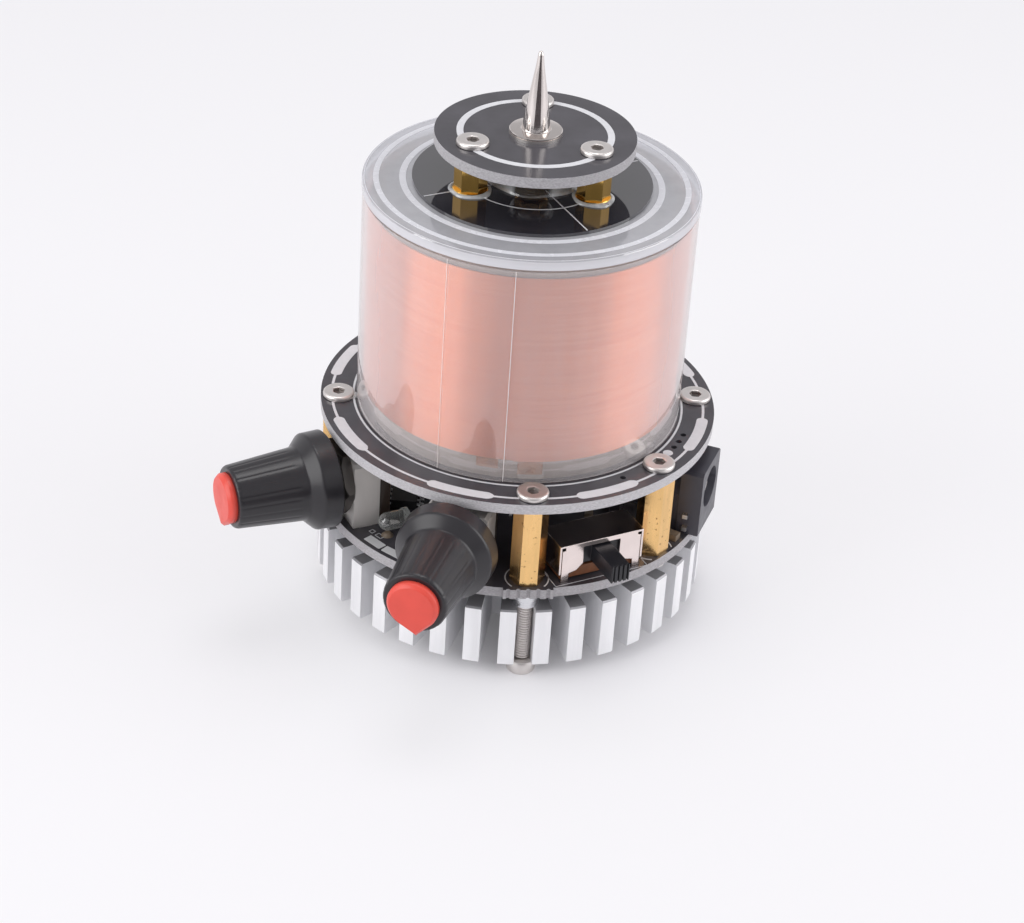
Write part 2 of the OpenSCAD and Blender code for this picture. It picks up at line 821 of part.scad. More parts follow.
module jack_pins_outline(grow) {
    rotate([0, 0, jack_az]) translate([jack_side, 0]) {
        translate([-blade_w / 2 - grow, -jack_back() - grow])
            square([blade_w + 2 * grow, blade_t + 2 * grow]);
        translate([-blade_w / 2 - grow, -jack_back() - jack_l / 2 - grow])
            square([blade_w + 2 * grow, blade_t + 2 * grow]);
        translate([edge - jack_w / 2 - blade_t - grow, -jack_back() - jack_l * 0.3 - grow])
            square([blade_t + 2 * grow, blade_w + 2 * grow]);
    }
}

module dc_jack_housing() {
    barrel_r = socket_d / 2 + barrel_wall;
    c = jack_chamfer;
    half = jack_w / 2;
    color("#2c2b33") difference() {
        union() {
            outward(jack_az, s_jack - collar_l, z_low_top, jack_side) linear_extrude(collar_l)
                polygon([[-half, 0], [-half, jack_h - c], [c - half, jack_h], [half - c, jack_h],
                    [half, jack_h - c], [half, 0]]);
            outward(jack_az, jack_back(), z_low_top, jack_side)
                linear_extrude(jack_l - collar_l + edge) standing(jack_w - 2 * edge, socket_h);
            outward(jack_az, jack_back(), z_low_top + socket_h, jack_side)
                cylinder(r = barrel_r, h = jack_l - collar_l + edge);
        }
        outward(jack_az, s_jack - socket_deep, z_low_top + socket_h, jack_side)
            cylinder(d = socket_d, h = socket_deep + over);
        outward(jack_az, jack_back() - over, z_low_top + socket_h, jack_side)
            cylinder(d = pin_d + 2 * fit, h = jack_l);
    }
}

module dc_jack_pin() {
    recess = 0.6;
    color("#cbc7bd") outward(jack_az, jack_back(), z_low_top + socket_h, jack_side)
        chamfered(pin_d / 2, jack_l - recess, edge);
}

module dc_jack_terminals() {
    side_tab = [0.5, 0.8, 0.7];
    tab_heights = [0.7, 2.9];
    color("#c8c8cc") {
        rotate([0, 0, jack_az]) translate([jack_side, 0, z_low - pin_below]) {
            translate([-blade_w / 2, -jack_back(), 0])
                cube([blade_w, blade_t, board_t + pin_below + socket_h]);
            translate([-blade_w / 2, -jack_back() - jack_l / 2, 0])
                cube([blade_w, blade_t, board_t + pin_below]);
            translate([edge - jack_w / 2 - blade_t, -jack_back() - jack_l * 0.3, 0])
                cube([blade_t, blade_w, board_t + pin_below + socket_h / 2]);
        }
        for (h = tab_heights) rotate([0, 0, jack_az])
            translate([jack_side - jack_w / 2 - side_tab[0], -s_jack + collar_l / 2,
                    z_low_top + h])
                cube(side_tab);
    }
}

// Primary: half turns about two centres, each half turn wider by half the pitch
module primary_coil() {
    end_x = primary_r + primary_turns * primary_pitch;
    lift = primary_wire / 2 + gap / 2;
    color("#c47a4a") translate([0, 0, z_up_top + lift]) {
        for (k = [0 : 2 * primary_turns - 1])
            translate([(k % 2) * primary_pitch / 2, 0, 0]) rotate([0, 0, (k % 2) * 180])
                rotate_extrude(angle = 180)
                    translate([primary_r + k * primary_pitch / 2, 0]) circle(d = primary_wire);
        for (x = [primary_r, end_x]) translate([x, 0, 0]) {
            sphere(d = primary_wire);
            translate([0, 0, -lift - board_t]) cylinder(d = primary_wire, h = lift + board_t);
        }
    }
}

module coil_former() {
    color("#dfe6ea", 0.35) translate([0, 0, z_up_top]) ring(former_r, bore_r, coil_h);
}

// Route of the winding on its drum, as [distance round, height], from the lower lead up
function rise_angle() = atan(loop_pitch / (2 * PI * wind_r));
function bend_out(a) = [lead_bend * (1 - cos(a)), lead_bend * sin(a)];
bend_steps = 4;
bend_sweep = 90 - rise_angle();
bend_end = bend_out(bend_sweep);
helix_len = loops * 2 * PI * wind_r;
helix_rise = wind_len - 2 * bend_end[1];
winding_route = concat(
    [[0, z_up_top]],
    [for (i = [0 : bend_steps - 1]) let (b = bend_out(bend_sweep * i / bend_steps))
        [b[0], wind_low + b[1]]],
    [for (i = [0 : loops * loop_rings]) let (t = i / (loops * loop_rings))
        [bend_end[0] + t * helix_len, wind_low + bend_end[1] + t * helix_rise]],
    [for (i = [bend_steps - 1 : -1 : 0]) let (b = bend_out(bend_sweep * i / bend_steps))
        [2 * bend_end[0] + helix_len - b[0], wind_low + wind_len - b[1]]],
    [[2 * bend_end[0] + helix_len, z_lid]]);
lead_az = 150;

// A route point on the drum, and the ring of the tube's corners square to the route there
function drum_angle(p) = lead_az - 90 + p[0] / wind_r * 180 / PI;
function on_drum(p) = let (a = drum_angle(p)) [wind_r * cos(a), wind_r * sin(a), p[1]];
function ring_at(route, i) = let (
    n = len(route) - 1,
    step = route[min(i + 1, n)] - route[max(i - 1, 0)],
    a = drum_angle(route[i]),
    radial = [cos(a), sin(a), 0],
    along = i == 0 || i == n ? [0, 0, 1]
        : let (v = [-sin(a) * step[0], cos(a) * step[0], step[1]]) v / norm(v),
    across = cross(along, radial),
    centre = on_drum(route[i]))
    [for (k = [0 : tube_sides - 1]) let (c = 360 * k / tube_sides)
        centre + wire_d / 2 * (cos(c) * radial + sin(c) * across)];

module winding_tube(route) {
    n = len(route);
    points = [for (i = [0 : n - 1]) each ring_at(route, i)];
    side_faces = [for (i = [0 : n - 2], k = [0 : tube_sides - 1])
        let (a = i * tube_sides + k, b = i * tube_sides + (k + 1) % tube_sides)
            each [[a, a + tube_sides, b], [b, a + tube_sides, b + tube_sides]]];
    start_cap = [for (k = [1 : tube_sides - 2]) [0, k, k + 1]];
    last = (n - 1) * tube_sides;
    end_cap = [for (k = [1 : tube_sides - 2]) [last, last + k + 1, last + k]];
    polyhedron(points = points, faces = concat(side_faces, start_cap, end_cap), convexity = 4);
}

// Least gap between neighbouring loops, measured from point to point of the route
function least_gap(route) = min([for (i = [0 : len(route) - 1 - loop_rings / 2])
    for (j = [i + loop_rings / 2 : min(i + loop_rings * 3 / 2, len(route) - 1)])
        norm(on_drum(route[j]) - on_drum(route[i]))]) - wire_d;

// Outer layer of the winding over a plain core that stands for the fine turns below it
module secondary_winding() {
    echo(least_gap_of_winding_mm = least_gap(winding_route));
    core_low = wind_low + lead_bend;
    color("#d98e68") {
        translate([0, 0, core_low]) ring(core_out_r, core_out_r - core_t, wind_len - 2 * lead_bend);
        winding_tube(winding_route);
    }
}

// Clear film, thicker along its overlapped seam
module outer_film() {
    clear_end = 0.3;
    film_h = coil_h - 2 * clear_end;
    seam_r = coil_r + film_t / 2;
    color("#f1f3f5", 0.3) translate([0, 0, z_up_top + clear_end]) difference() {
        cylinder(r = seam_r, h = film_h);
        translate([0, 0, -over]) cylinder(r = film_r, h = film_h + 2 * over);
        rotate([0, 0, seam_az - 90]) rotate_extrude(angle = 360 - seam_sweep)
            translate([coil_r, -over]) square([film_t + over, film_h + 2 * over]);
    }
}

// Top: lid, black disc, posts, discharge disc and needle
module stud_holes(r, h) {
    for (a = post_azs) at_az(a, post_r) translate([0, 0, -over])
        cylinder(r = r, h = h + 2 * over);
}

module top_lid() {
    lid_r = coil_r + edge / 2;
    color("#d6d9dd", 0.6) difference() {
        union() {
            translate([0, 0, z_lid]) chamfered(lid_r, lid_t, edge / 2);
            translate([0, 0, z_lid - spigot_h]) cylinder(r = bore_r - gap, h = spigot_h + edge);
        }
        translate([0, 0, z_lid - spigot_h]) stud_holes(stud_d / 2 + fit, spigot_h + lid_t);
        translate([0, 0, z_lid - spigot_h - over])
            cylinder(r = lid_hole_r, h = spigot_h + lid_t + 2 * over);
    }
}

module inner_disc() {
    color("#1d1c20") translate([0, 0, z_lid_top]) difference() {
        cylinder(r = inner_r, h = inner_t);
        stud_holes(stud_d / 2 + fit, inner_t);
    }
}

// Hex posts with a round foot and a stud that passes down through the black disc and the lid
module top_posts() {
    stud_l = inner_t + lid_t + spigot_h;
    color("#c9a04e") for (a = post_azs) at_az(a, post_r) translate([0, 0, z_inner_top])
        difference() {
            union() {
                turned_hex(post_af, post_h, edge);
                chamfered(collar_r, collar_t, edge / 2);
                translate([0, 0, -stud_l]) cylinder(d = stud_d, h = stud_l + edge);
            }
            translate([0, 0, post_h - thread_in]) cylinder(d = thread_d, h = thread_in + over);
        }
}

// Beads of clear glue that run round each post's foot
module post_glue() {
    inside = collar_r + fit;
    color("#dfe2e4", 0.6) for (a = post_azs) at_az(a, post_r) translate([0, 0, z_inner_top])
        rotate_extrude() polygon([[inside, 0], [post_glue_r, 0],
            [post_glue_r - post_glue_h / 4, post_glue_h * 0.6], [inside, post_glue_h]]);
}

module discharge_disc() {
    color("#2b2a2e") translate([0, 0, z_disc]) difference() {
        cylinder(r = disc_r, h = board_t);
        stud_holes(hole_d / 2, board_t);
        translate([0, 0, -over]) cylinder(d = hole_d, h = board_t + 2 * over);
    }
}

module disc_screws() {
    held = thread_in - over;
    color("#c9c5c4") for (a = post_azs) at_az(a, post_r) translate([0, 0, z_disc_top])
        screw(head_d, head_h, board_t + held);
}

module needle_washer() {
    color("#b9b9bd") translate([0, 0, z_disc_top])
        ring(flange_d / 2, screw_d / 2 + fit, washer_t);
}

// Needle turned from one bar: stud, flange, and a long bullet taper to a round tip
module needle() {
    stud_low = -washer_t - board_t - nut_h;
    base_r = needle_d / 2;
    // The taper follows a power curve from the base to the tip's own ball
    tip_z = needle_l - needle_tip_r;
    taper = [for (t = [0.22 : 0.13 : 0.87]) [needle_tip_r
        + (base_r - needle_tip_r) * pow(1 - (t - 0.22) / 0.78, 0.85), tip_z * t]];
    color("#cfc9c6") translate([0, 0, z_disc_top + washer_t]) rotate_extrude()
        polygon(concat(
            [[0, stud_low], [screw_d / 2, stud_low], [screw_d / 2, 0],
                [flange_d / 2 - edge, 0], [flange_d / 2, edge], [flange_d / 2, flange_t],
                [base_r, flange_t]],
            [for (p = taper) [p[0], flange_t + p[1]]],
            [for (a = [0 : 18 : 90])
                [needle_tip_r * cos(a), flange_t + tip_z + needle_tip_r * sin(a)]]));
}

module hex_nut() {
    color("#b98f4c") difference() {
        turned_hex(post_af, nut_h, edge);
        translate([0, 0, -over]) cylinder(d = screw_d + 2 * fit, h = nut_h + 2 * over);
    }
}

// Nut that holds the needle, under the disc, and the one on the black disc that takes the lead
module needle_nut() { translate([0, 0, z_disc - nut_h]) hex_nut(); }
module lead_nut() { translate([0, 0, z_inner_top]) hex_nut(); }

// Clear glue that climbs the flats of a nut from a wide foot
module glue_round_nut(r, h) {
    inside = post_af / 2;
    difference() {
        rotate_extrude() polygon([[0, 0], [r, 0],
            for (a = [15 : 15 : 90]) [inside + (r - inside) * cos(a), h * sin(a)], [0, h]]);
        translate([0, 0, -over]) hex_bar(post_af + 2 * fit, h + 2 * over);
    }
}

module nut_glue() {
    color("#d5dadc", 0.5) {
        translate([0, 0, z_inner_top]) glue_round_nut(low_glue_r, low_glue_h);
        translate([0, 0, z_disc]) mirror([0, 0, 1]) glue_round_nut(high_glue_r, low_glue_h);
    }
}

heatsink();
heatsink_screws();
board_spacers();
lower_board();
lower_board_screws();
board_pillars();
upper_board();
upper_board_screws();
power_transistors();
thermal_pads();
driver_chips();
chip_legs();
bulk_capacitors();
small_parts();
status_led();
left_pot_shell();
left_pot_wafer();
left_pot_terminals();
left_pot_bush();
left_pot_nut();
left_pot_shaft();
left_knob();
left_knob_cap();
front_pot_shell();
front_pot_wafer();
front_pot_terminals();
front_pot_bush();
front_pot_nut();
front_pot_shaft();
front_knob();
front_knob_cap();
switch_frame();
switch_base();
switch_terminals();
switch_slider();
switch_contacts();
dc_jack_housing();
dc_jack_pin();
dc_jack_terminals();
primary_coil();
coil_former();
secondary_winding();
outer_film();
top_lid();
inner_disc();
top_posts();
post_glue();
discharge_disc();
disc_screws();
needle_washer();
needle();
needle_nut();
lead_nut();
nut_glue();
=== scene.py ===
"""Looks of the desktop resonant transformer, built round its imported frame."""
import json
import math
import random

import bmesh
import bpy
from mathutils import Matrix, Vector


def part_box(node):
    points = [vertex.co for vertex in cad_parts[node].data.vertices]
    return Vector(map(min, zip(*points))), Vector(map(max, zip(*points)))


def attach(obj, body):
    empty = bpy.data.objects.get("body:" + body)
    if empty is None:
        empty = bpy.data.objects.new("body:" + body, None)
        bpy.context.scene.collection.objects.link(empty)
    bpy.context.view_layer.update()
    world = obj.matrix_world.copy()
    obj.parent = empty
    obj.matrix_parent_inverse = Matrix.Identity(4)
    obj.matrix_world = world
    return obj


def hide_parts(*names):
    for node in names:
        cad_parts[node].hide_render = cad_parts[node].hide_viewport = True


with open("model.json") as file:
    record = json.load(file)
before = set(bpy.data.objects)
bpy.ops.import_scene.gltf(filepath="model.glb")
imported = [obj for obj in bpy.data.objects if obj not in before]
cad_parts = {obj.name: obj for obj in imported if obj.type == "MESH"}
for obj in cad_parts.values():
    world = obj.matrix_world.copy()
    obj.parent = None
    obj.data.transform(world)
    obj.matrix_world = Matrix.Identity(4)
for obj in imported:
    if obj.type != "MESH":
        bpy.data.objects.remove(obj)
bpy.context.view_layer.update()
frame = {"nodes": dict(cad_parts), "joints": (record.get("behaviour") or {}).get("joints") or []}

MM = 0.001
IDENTITY = Matrix.Identity(4)


# Levels and places, in millimetres, read from the frame
def top_of(node):
    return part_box(node)[1].z / MM


def bottom_of(node):
    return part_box(node)[0].z / MM


SINK_LOW, SINK_TOP = bottom_of("heatsink"), top_of("heatsink")
LOW_TOP, LOW_UNDER = top_of("lower_board"), bottom_of("lower_board")
UP_TOP = top_of("upper_board")
LID_UNDER, LID_TOP = top_of("coil_former"), top_of("top_lid")
INNER_TOP = top_of("inner_disc")
DISC_UNDER, DISC_TOP = bottom_of("discharge_disc"), top_of("discharge_disc")
NEEDLE_TIP = top_of("needle")
BOARD_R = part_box("upper_board")[1].x / MM
DISC_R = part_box("discharge_disc")[1].x / MM

PILLAR_AZ = 6.5
PILLAR_STEP = 45
PILLAR_R = 27.3
PILLARS = [PILLAR_AZ + k * PILLAR_STEP for k in range(7)]
FEET = PILLARS[0::2]
SHORT_SCREWS = PILLARS[1::2]
POST_AZS = [-60, 60, 180]
POST_R = 10.2
SWITCH_AZ = 28
FILM_R = 24.6
TINY_R = 0.01  # radius that stands for the axis, so that rings keep their corners


def outwards(az):
    """Unit vector away from the axis, at az degrees right of the front."""
    return Vector((math.sin(math.radians(az)), -math.cos(math.radians(az)), 0))


def polar(az, r, z):
    return outwards(az) * r + Vector((0, 0, z))


def columns(x, y, z, origin):
    m = Matrix((x, y, z)).transposed().to_4x4()
    m.translation = origin
    return m


def upright(az, r, z):
    """Place with +Z up, turned so that its -Y points outwards."""
    return columns(outwards(az + 90), -outwards(az), Vector((0, 0, 1)), polar(az, r, z))


def at_joint(name, offset):
    """Place on a hinge's axis, offset millimetres out of its point, with +Y up."""
    joint = next(j for j in frame["joints"] if j["name"] == name)
    out = Vector(joint["axis"]).normalized()
    up = Vector((0, 0, 1))
    return columns(up.cross(out), up, out, Vector(joint["pos_m"]) / MM + out * offset)


# Mesh building, in millimetres
def turn_of(steps):
    """Cosine and sine of even steps round a full turn."""
    return [(math.cos(2 * math.pi * k / steps), math.sin(2 * math.pi * k / steps)) for k in range(steps)]


class Shape:
    """Vertices and faces that grow piece by piece."""

    def __init__(self):
        self.verts, self.faces = [], []

    def add(self, verts, faces, place=IDENTITY):
        base = len(self.verts)
        self.verts += [place @ Vector(v) for v in verts]
        self.faces += [[base + i for i in f] for f in faces]
        return self

    def rings(self, rows, place=IDENTITY, loop=False):
        """Skin over rows of points that each close on themselves, capped unless it loops."""
        n, count = len(rows[0]), len(rows)
        verts = [p for row in rows for p in row]
        faces = [
            [i * n + j, i * n + (j + 1) % n, (i + 1) % count * n + (j + 1) % n, (i + 1) % count * n + j]
            for i in range(count if loop else count - 1)
            for j in range(n)
        ]
        if not loop:
            faces += [list(range(n))[::-1], list(range((count - 1) * n, count * n))]
        return self.add(verts, faces, place)

    def lathe(self, profile, steps=96, place=IDENTITY, loop=False):
        """Turns (radius, height) points about Z. A loop profile closes on itself."""
        rows = [[(r * c, r * s, z) for c, s in turn_of(steps)] for r, z in profile]
        return self.rings(rows, place, loop)

    def prism(self, outline, low, high, place=IDENTITY):
        return self.rings([[(x, y, z) for x, y in outline] for z in (low, high)], place)

    def tube(self, path, radius, sides):
        """Round bar along a path, with a frame that doesn't twist."""
        points = [Vector(p) for p in path]
        rows, across = [], None
        for i, p in enumerate(points):
            along = (points[min(i + 1, len(points) - 1)] - points[max(i - 1, 0)]).normalized()
            if across is None:
                across = along.orthogonal().normalized()
            across = (across - along * across.dot(along)).normalized()
            other = along.cross(across)
            rows.append([p + (across * c + other * s) * radius for c, s in turn_of(sides)])
        return self.rings(rows)


def rounded(w, h, r, steps=4):
    """Outline of a rectangle about the origin with rounded corners."""
    points = []
    for k, (sx, sy) in enumerate(((1, 1), (-1, 1), (-1, -1), (1, -1))):
        for j in range(steps + 1):
            a = math.radians(90 * k + 90 * j / steps)
            points.append((sx * (w / 2 - r) + r * math.cos(a), sy * (h / 2 - r) + r * math.sin(a)))
    return points


def circle(r, steps, x, y):
    return [(x + r * c, y + r * s) for c, s in turn_of(steps)]


def piece(name, shape, mat, body="base", stands_for=(), sharp=38):
    """Object made from a shape, riding on a body and standing for the CAD nodes named.

    Edges that turn by more than sharp degrees stay sharp.
    """
    mesh = bpy.data.meshes.new(name)
    mesh.from_pydata([Vector(v) * MM for v in shape.verts], [], shape.faces)
    bm = bmesh.new()
    bm.from_mesh(mesh)
    bmesh.ops.remove_doubles(bm, verts=bm.verts, dist=1e-7)
    bmesh.ops.recalc_face_normals(bm, faces=bm.faces)
    limit = math.radians(sharp)
    for e in bm.edges:
        e.smooth = not (len(e.link_faces) == 2 and e.calc_face_angle() > limit)
    for f in bm.faces:
        f.smooth = True
    bm.to_mesh(mesh)
    bm.free()
    obj = bpy.data.objects.new(name, mesh)
    bpy.context.scene.collection.objects.link(obj)
    mesh.materials.append(mat)
    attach(obj, body)
    if stands_for:
        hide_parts(*stands_for)


def soften(obj, width):
    """Rounds the sharp edges of an object by width millimetres."""
    mod = obj.modifiers.new("edges", "BEVEL")
    mod.width = width * MM
    mod.segments = 2
    mod.limit_method = "ANGLE"
    mod.angle_limit = math.radians(40)
    mod.harden_normals = True


def dress(mat, *nodes, bevel=0.0):
    """Gives CAD nodes a finish, and rounds their sharp edges where asked."""
    for name in nodes:
        obj = frame["nodes"][name]
        obj.data.materials.clear()
        obj.data.materials.append(mat)
        if bevel:
            weld = obj.modifiers.new("weld", "WELD")
            weld.merge_threshold = 1e-6
            soften(obj, bevel)


# Materials
def srgb(code):
    """Linear colour from a hex code."""
    parts = [int(code[i : i + 2], 16) / 255 for i in (1, 3, 5)]
    return [c / 12.92 if c <= 0.04045 else ((c + 0.055) / 1.055) ** 2.4 for c in parts]


class Nodes:
    """Short ways to add and join nodes in one material."""

    def __init__(self, name):
        self.mat = bpy.data.materials.new(name)
        self.mat.use_nodes = True
        self.tree = self.mat.node_tree
        self.tree.nodes.clear()
        self.out = self.new("ShaderNodeOutputMaterial")

    def new(self, kind, **values):
        node = self.tree.nodes.new(kind)
        for key, value in values.items():
            setattr(node, key, value)
        return node

    def link(self, a, b):
        self.tree.links.new(a, b)

    def coordinates(self, stretch=(1, 1, 1)):
        coord = self.new("ShaderNodeTexCoord")
        mapping = self.new("ShaderNodeMapping")
        mapping.inputs["Scale"].default_value = stretch
        self.link(coord.outputs["Object"], mapping.inputs["Vector"])
        return mapping.outputs["Vector"]

    def noise(self, size_mm, stretch=(1, 1, 1), detail=4.0):
        tex = self.new("ShaderNodeTexNoise")
        tex.inputs["Scale"].default_value = 1 / (size_mm * MM)
        tex.inputs["Detail"].default_value = detail
        tex.inputs["Roughness"].default_value = 0.55
        self.link(self.coordinates(stretch), tex.inputs["Vector"])
        return tex.outputs["Fac"]

    def ranged(self, value, low, high, start=0.3, end=0.7):
        """Maps start to end, by default about the span of a noise, to low to high."""
        node = self.new("ShaderNodeMapRange")
        for key, number in (("From Min", start), ("From Max", end), ("To Min", low), ("To Max", high)):
            node.inputs[key].default_value = number
        self.link(value, node.inputs["Value"])
        return node.outputs["Result"]

    def blend(self, factor, a, b):
        """Mix of two colours, given as lists or sockets."""
        node = self.new("ShaderNodeMix", data_type="RGBA")
        self.link(factor, node.inputs["Factor"])
        for key, colour in ((6, a), (7, b)):
            if isinstance(colour, list):
                node.inputs[key].default_value = [*colour, 1]
            else:
                self.link(colour, node.inputs[key])
        return node.outputs[2]

    def bump(self, value, height_mm):
        node = self.new("ShaderNodeBump")
        node.inputs["Distance"].default_value = height_mm * MM
        self.link(value, node.inputs["Height"])
        return node.outputs["Normal"]

    def mix_shader(self, factor, a, b):
        node = self.new("ShaderNodeMixShader")
        self.link(factor, node.inputs["Fac"])
        self.link(a, node.inputs[1])
        self.link(b, node.inputs[2])
        return node.outputs[0]

    def upward(self, geometry):
        """How far a face looks straight up or down, from 0 to 1."""
        split = self.new("ShaderNodeSeparateXYZ")
        self.link(geometry.outputs["Normal"], split.inputs[0])
        flat = self.new("ShaderNodeMath", operation="ABSOLUTE")
        self.link(split.outputs["Z"], flat.inputs[0])
        return flat.outputs[0]

    def done(self, shader):
        self.link(shader, self.out.inputs["Surface"])
        return self.mat


def scaled(colour, k):
    return [min(1.0, c * k) for c in colour]


def finish_of(
    name,
    colour,
    metallic=0.0,
    rough=0.4,
    tone=0.08,
    tone_mm=3.0,
    rough_by=0.06,
    rough_mm=1.5,
    bump=0.0,
    bump_mm=0.3,
    stretch=(1, 1, 1),
    coat=0.0,
    coat_rough=0.05,
    level=0.5,
    spots=None,
):
    """Opaque finish whose colour, roughness and relief vary as a real surface's do."""
    n = Nodes(name)
    bsdf = n.new("ShaderNodeBsdfPrincipled")
    values = {
        "Metallic": metallic,
        "Coat Weight": coat,
        "Coat Roughness": coat_rough,
        "Specular IOR Level": level,
    }
    for key, value in values.items():
        bsdf.inputs[key].default_value = value
    spread = n.ranged(n.noise(tone_mm, stretch), 0, 1)
    shade = n.blend(spread, scaled(colour, 1 - tone), scaled(colour, 1 + tone))
    if spots:
        spot_colour, spot_mm, start = spots
        shade = n.blend(n.ranged(n.noise(spot_mm), 0, 0.8, start, start + 0.07), shade, spot_colour)
    n.link(shade, bsdf.inputs["Base Color"])
    patch = n.noise(rough_mm, stretch)
    least, most = max(0.02, rough - rough_by), min(1.0, rough + rough_by)
    n.link(n.ranged(patch, least, most), bsdf.inputs["Roughness"])
    if bump:
        n.link(n.bump(n.noise(bump_mm, stretch, detail=3), bump), bsdf.inputs["Normal"])
    return n.done(bsdf.outputs[0])


def clear(
    name,
    tint,
    haze,
    haze_colour,
    rough=0.04,
    ior=1.45,
    streak=0.0,
    stretch=(1, 1, 1),
    edge_haze=None,
    limb=0.0,
    parting=None,
):
    """See-through plastic: what is behind it, under a haze, with an outer gloss.

    haze varies by streak along stretch, and limb adds more where the surface slants away.
    edge_haze is the haze of upright faces, and parting the half width, in millimetres, of a
    clear strip across the axis.
    """
    n = Nodes(name)
    through = n.new("ShaderNodeBsdfTransparent")
    through.inputs["Color"].default_value = [*tint, 1]
    cloud = n.new("ShaderNodeBsdfPrincipled")
    cloud.inputs["Roughness"].default_value = 0.5
    cloud.inputs["Base Color"].default_value = [*haze_colour, 1]
    gloss = n.new("ShaderNodeBsdfGlossy")
    gloss.inputs["Roughness"].default_value = rough
    geometry = n.new("ShaderNodeNewGeometry")
    fresnel = n.new("ShaderNodeFresnel")
    fresnel.inputs["IOR"].default_value = ior
    shine = n.new("ShaderNodeMath", operation="MULTIPLY")
    n.link(fresnel.outputs[0], shine.inputs[0])
    n.link(n.ranged(geometry.outputs["Backfacing"], 1, 0, 0, 1), shine.inputs[1])
    factor = n.ranged(n.noise(2.5, stretch), max(0.0, haze - streak), min(1.0, haze + streak))
    if limb:
        slant = n.new("ShaderNodeLayerWeight")
        slant.inputs["Blend"].default_value = 0.5
        deeper = n.new("ShaderNodeMath", operation="MULTIPLY_ADD", use_clamp=True)
        n.link(slant.outputs["Facing"], deeper.inputs[0])
        deeper.inputs[1].default_value = limb
        n.link(factor, deeper.inputs[2])
        factor = deeper.outputs[0]
    if edge_haze is not None:
        rim = n.new("ShaderNodeMath", operation="MAXIMUM")
        n.link(factor, rim.inputs[0])
        n.link(n.ranged(n.upward(geometry), edge_haze, 0, 0.3, 0.6), rim.inputs[1])
        factor = rim.outputs[0]
    if parting:
        aside = n.new("ShaderNodeVectorMath", operation="LENGTH")
        n.link(n.coordinates((1, 0, 0)), aside.inputs[0])
        thin = n.new("ShaderNodeMath", operation="MULTIPLY")
        n.link(factor, thin.inputs[0])
        fade_from, fade_to = parting * 0.85 * MM, parting * 1.1 * MM
        n.link(n.ranged(aside.outputs["Value"], 0.08, 1, fade_from, fade_to), thin.inputs[1])
        factor = thin.outputs[0]
    body = n.mix_shader(factor, through.outputs[0], cloud.outputs[0])
    return n.done(n.mix_shader(shine.outputs[0], body, gloss.outputs[0]))


def board_finish(name, r, edge_low, edge_high):
    """Black solder mask, with bare pale laminate on the cut rim at radius r."""
    rim_from, rim_to = r * 0.96 * MM, r * 0.965 * MM
    n = Nodes(name)
    bsdf = n.new("ShaderNodeBsdfPrincipled")
    flat = n.ranged(n.upward(n.new("ShaderNodeNewGeometry")), 0, 1, 0.6, 0.8)
    away = n.new("ShaderNodeVectorMath", operation="LENGTH")
    n.link(n.coordinates((1, 1, 0)), away.inputs[0])
    either = n.new("ShaderNodeMath", operation="MAXIMUM")
    n.link(flat, either.inputs[0])
    n.link(n.ranged(away.outputs["Value"], 1, 0, rim_from, rim_to), either.inputs[1])
    face = either.outputs[0]
    grain = n.ranged(n.noise(0.35, (1, 1, 3)), 0, 1)
    edge = n.blend(grain, srgb(edge_low), srgb(edge_high))
    mask = n.blend(n.ranged(n.noise(6.0), 0, 1), srgb("#403e43"), srgb("#4c4a50"))
    n.link(n.blend(face, edge, mask), bsdf.inputs["Base Color"])
    n.link(n.ranged(face, 0.75, 0.13, 0, 1), bsdf.inputs["Roughness"])
    n.link(n.bump(n.noise(0.25), 0.01), bsdf.inputs["Normal"])
    return n.done(bsdf.outputs[0])


def aluminium_finish():
    """Sawn extrusion: bright drawn sides, and smoother cut ends whose darker colour is painted shade and
    a painted reflection of the dark board above the fins.
    """
    n = Nodes("sawn_aluminium")
    bsdf = n.new("ShaderNodeBsdfPrincipled")
    bsdf.inputs["Metallic"].default_value = 0.4
    ends = n.ranged(n.upward(n.new("ShaderNodeNewGeometry")), 0, 1, 0.3, 0.6)
    drawn = n.noise(2.0, (1, 1, 0.08))
    sides = n.blend(n.ranged(drawn, 0, 1), srgb("#ebebed"), srgb("#f7f7f9"))
    # Faces that look up or down get a darker colour, which paints the shade and the dark board's
    # reflection on the cut ends
    n.link(n.blend(ends, sides, srgb("#a3a2a6")), bsdf.inputs["Base Color"])
    n.link(n.ranged(ends, 0.42, 0.36, 0, 1), bsdf.inputs["Roughness"])
    n.link(n.bump(n.noise(0.12, (1, 1, 0.08), detail=3), 0.006), bsdf.inputs["Normal"])
    return n.done(bsdf.outputs[0])


def winding_finish():
    """Fine enamelled wire: the grooves spread light up and down, and the enamel shines."""
    n = Nodes("winding_wire")
    bsdf = n.new("ShaderNodeBsdfPrincipled")
    bsdf.inputs["Metallic"].default_value = 1
    bsdf.inputs["Anisotropic"].default_value = 1
    bsdf.inputs["Anisotropic Rotation"].default_value = 0.25
    bsdf.inputs["Coat Weight"].default_value = 0.25
    bsdf.inputs["Coat Roughness"].default_value = 0.12
    tangent = n.new("ShaderNodeTangent", direction_type="RADIAL", axis="Z")
    n.link(tangent.outputs[0], bsdf.inputs["Tangent"])
    bands = n.ranged(n.noise(0.5, (0.02, 0.02, 1), detail=5), 0, 1, 0.25, 0.75)
    n.link(n.blend(bands, srgb("#f2895b"), srgb("#fb9f71")), bsdf.inputs["Base Color"])
    n.link(n.ranged(n.noise(1.2, (0.05, 0.05, 1)), 0.38, 0.46), bsdf.inputs["Roughness"])
    return n.done(bsdf.outputs[0])


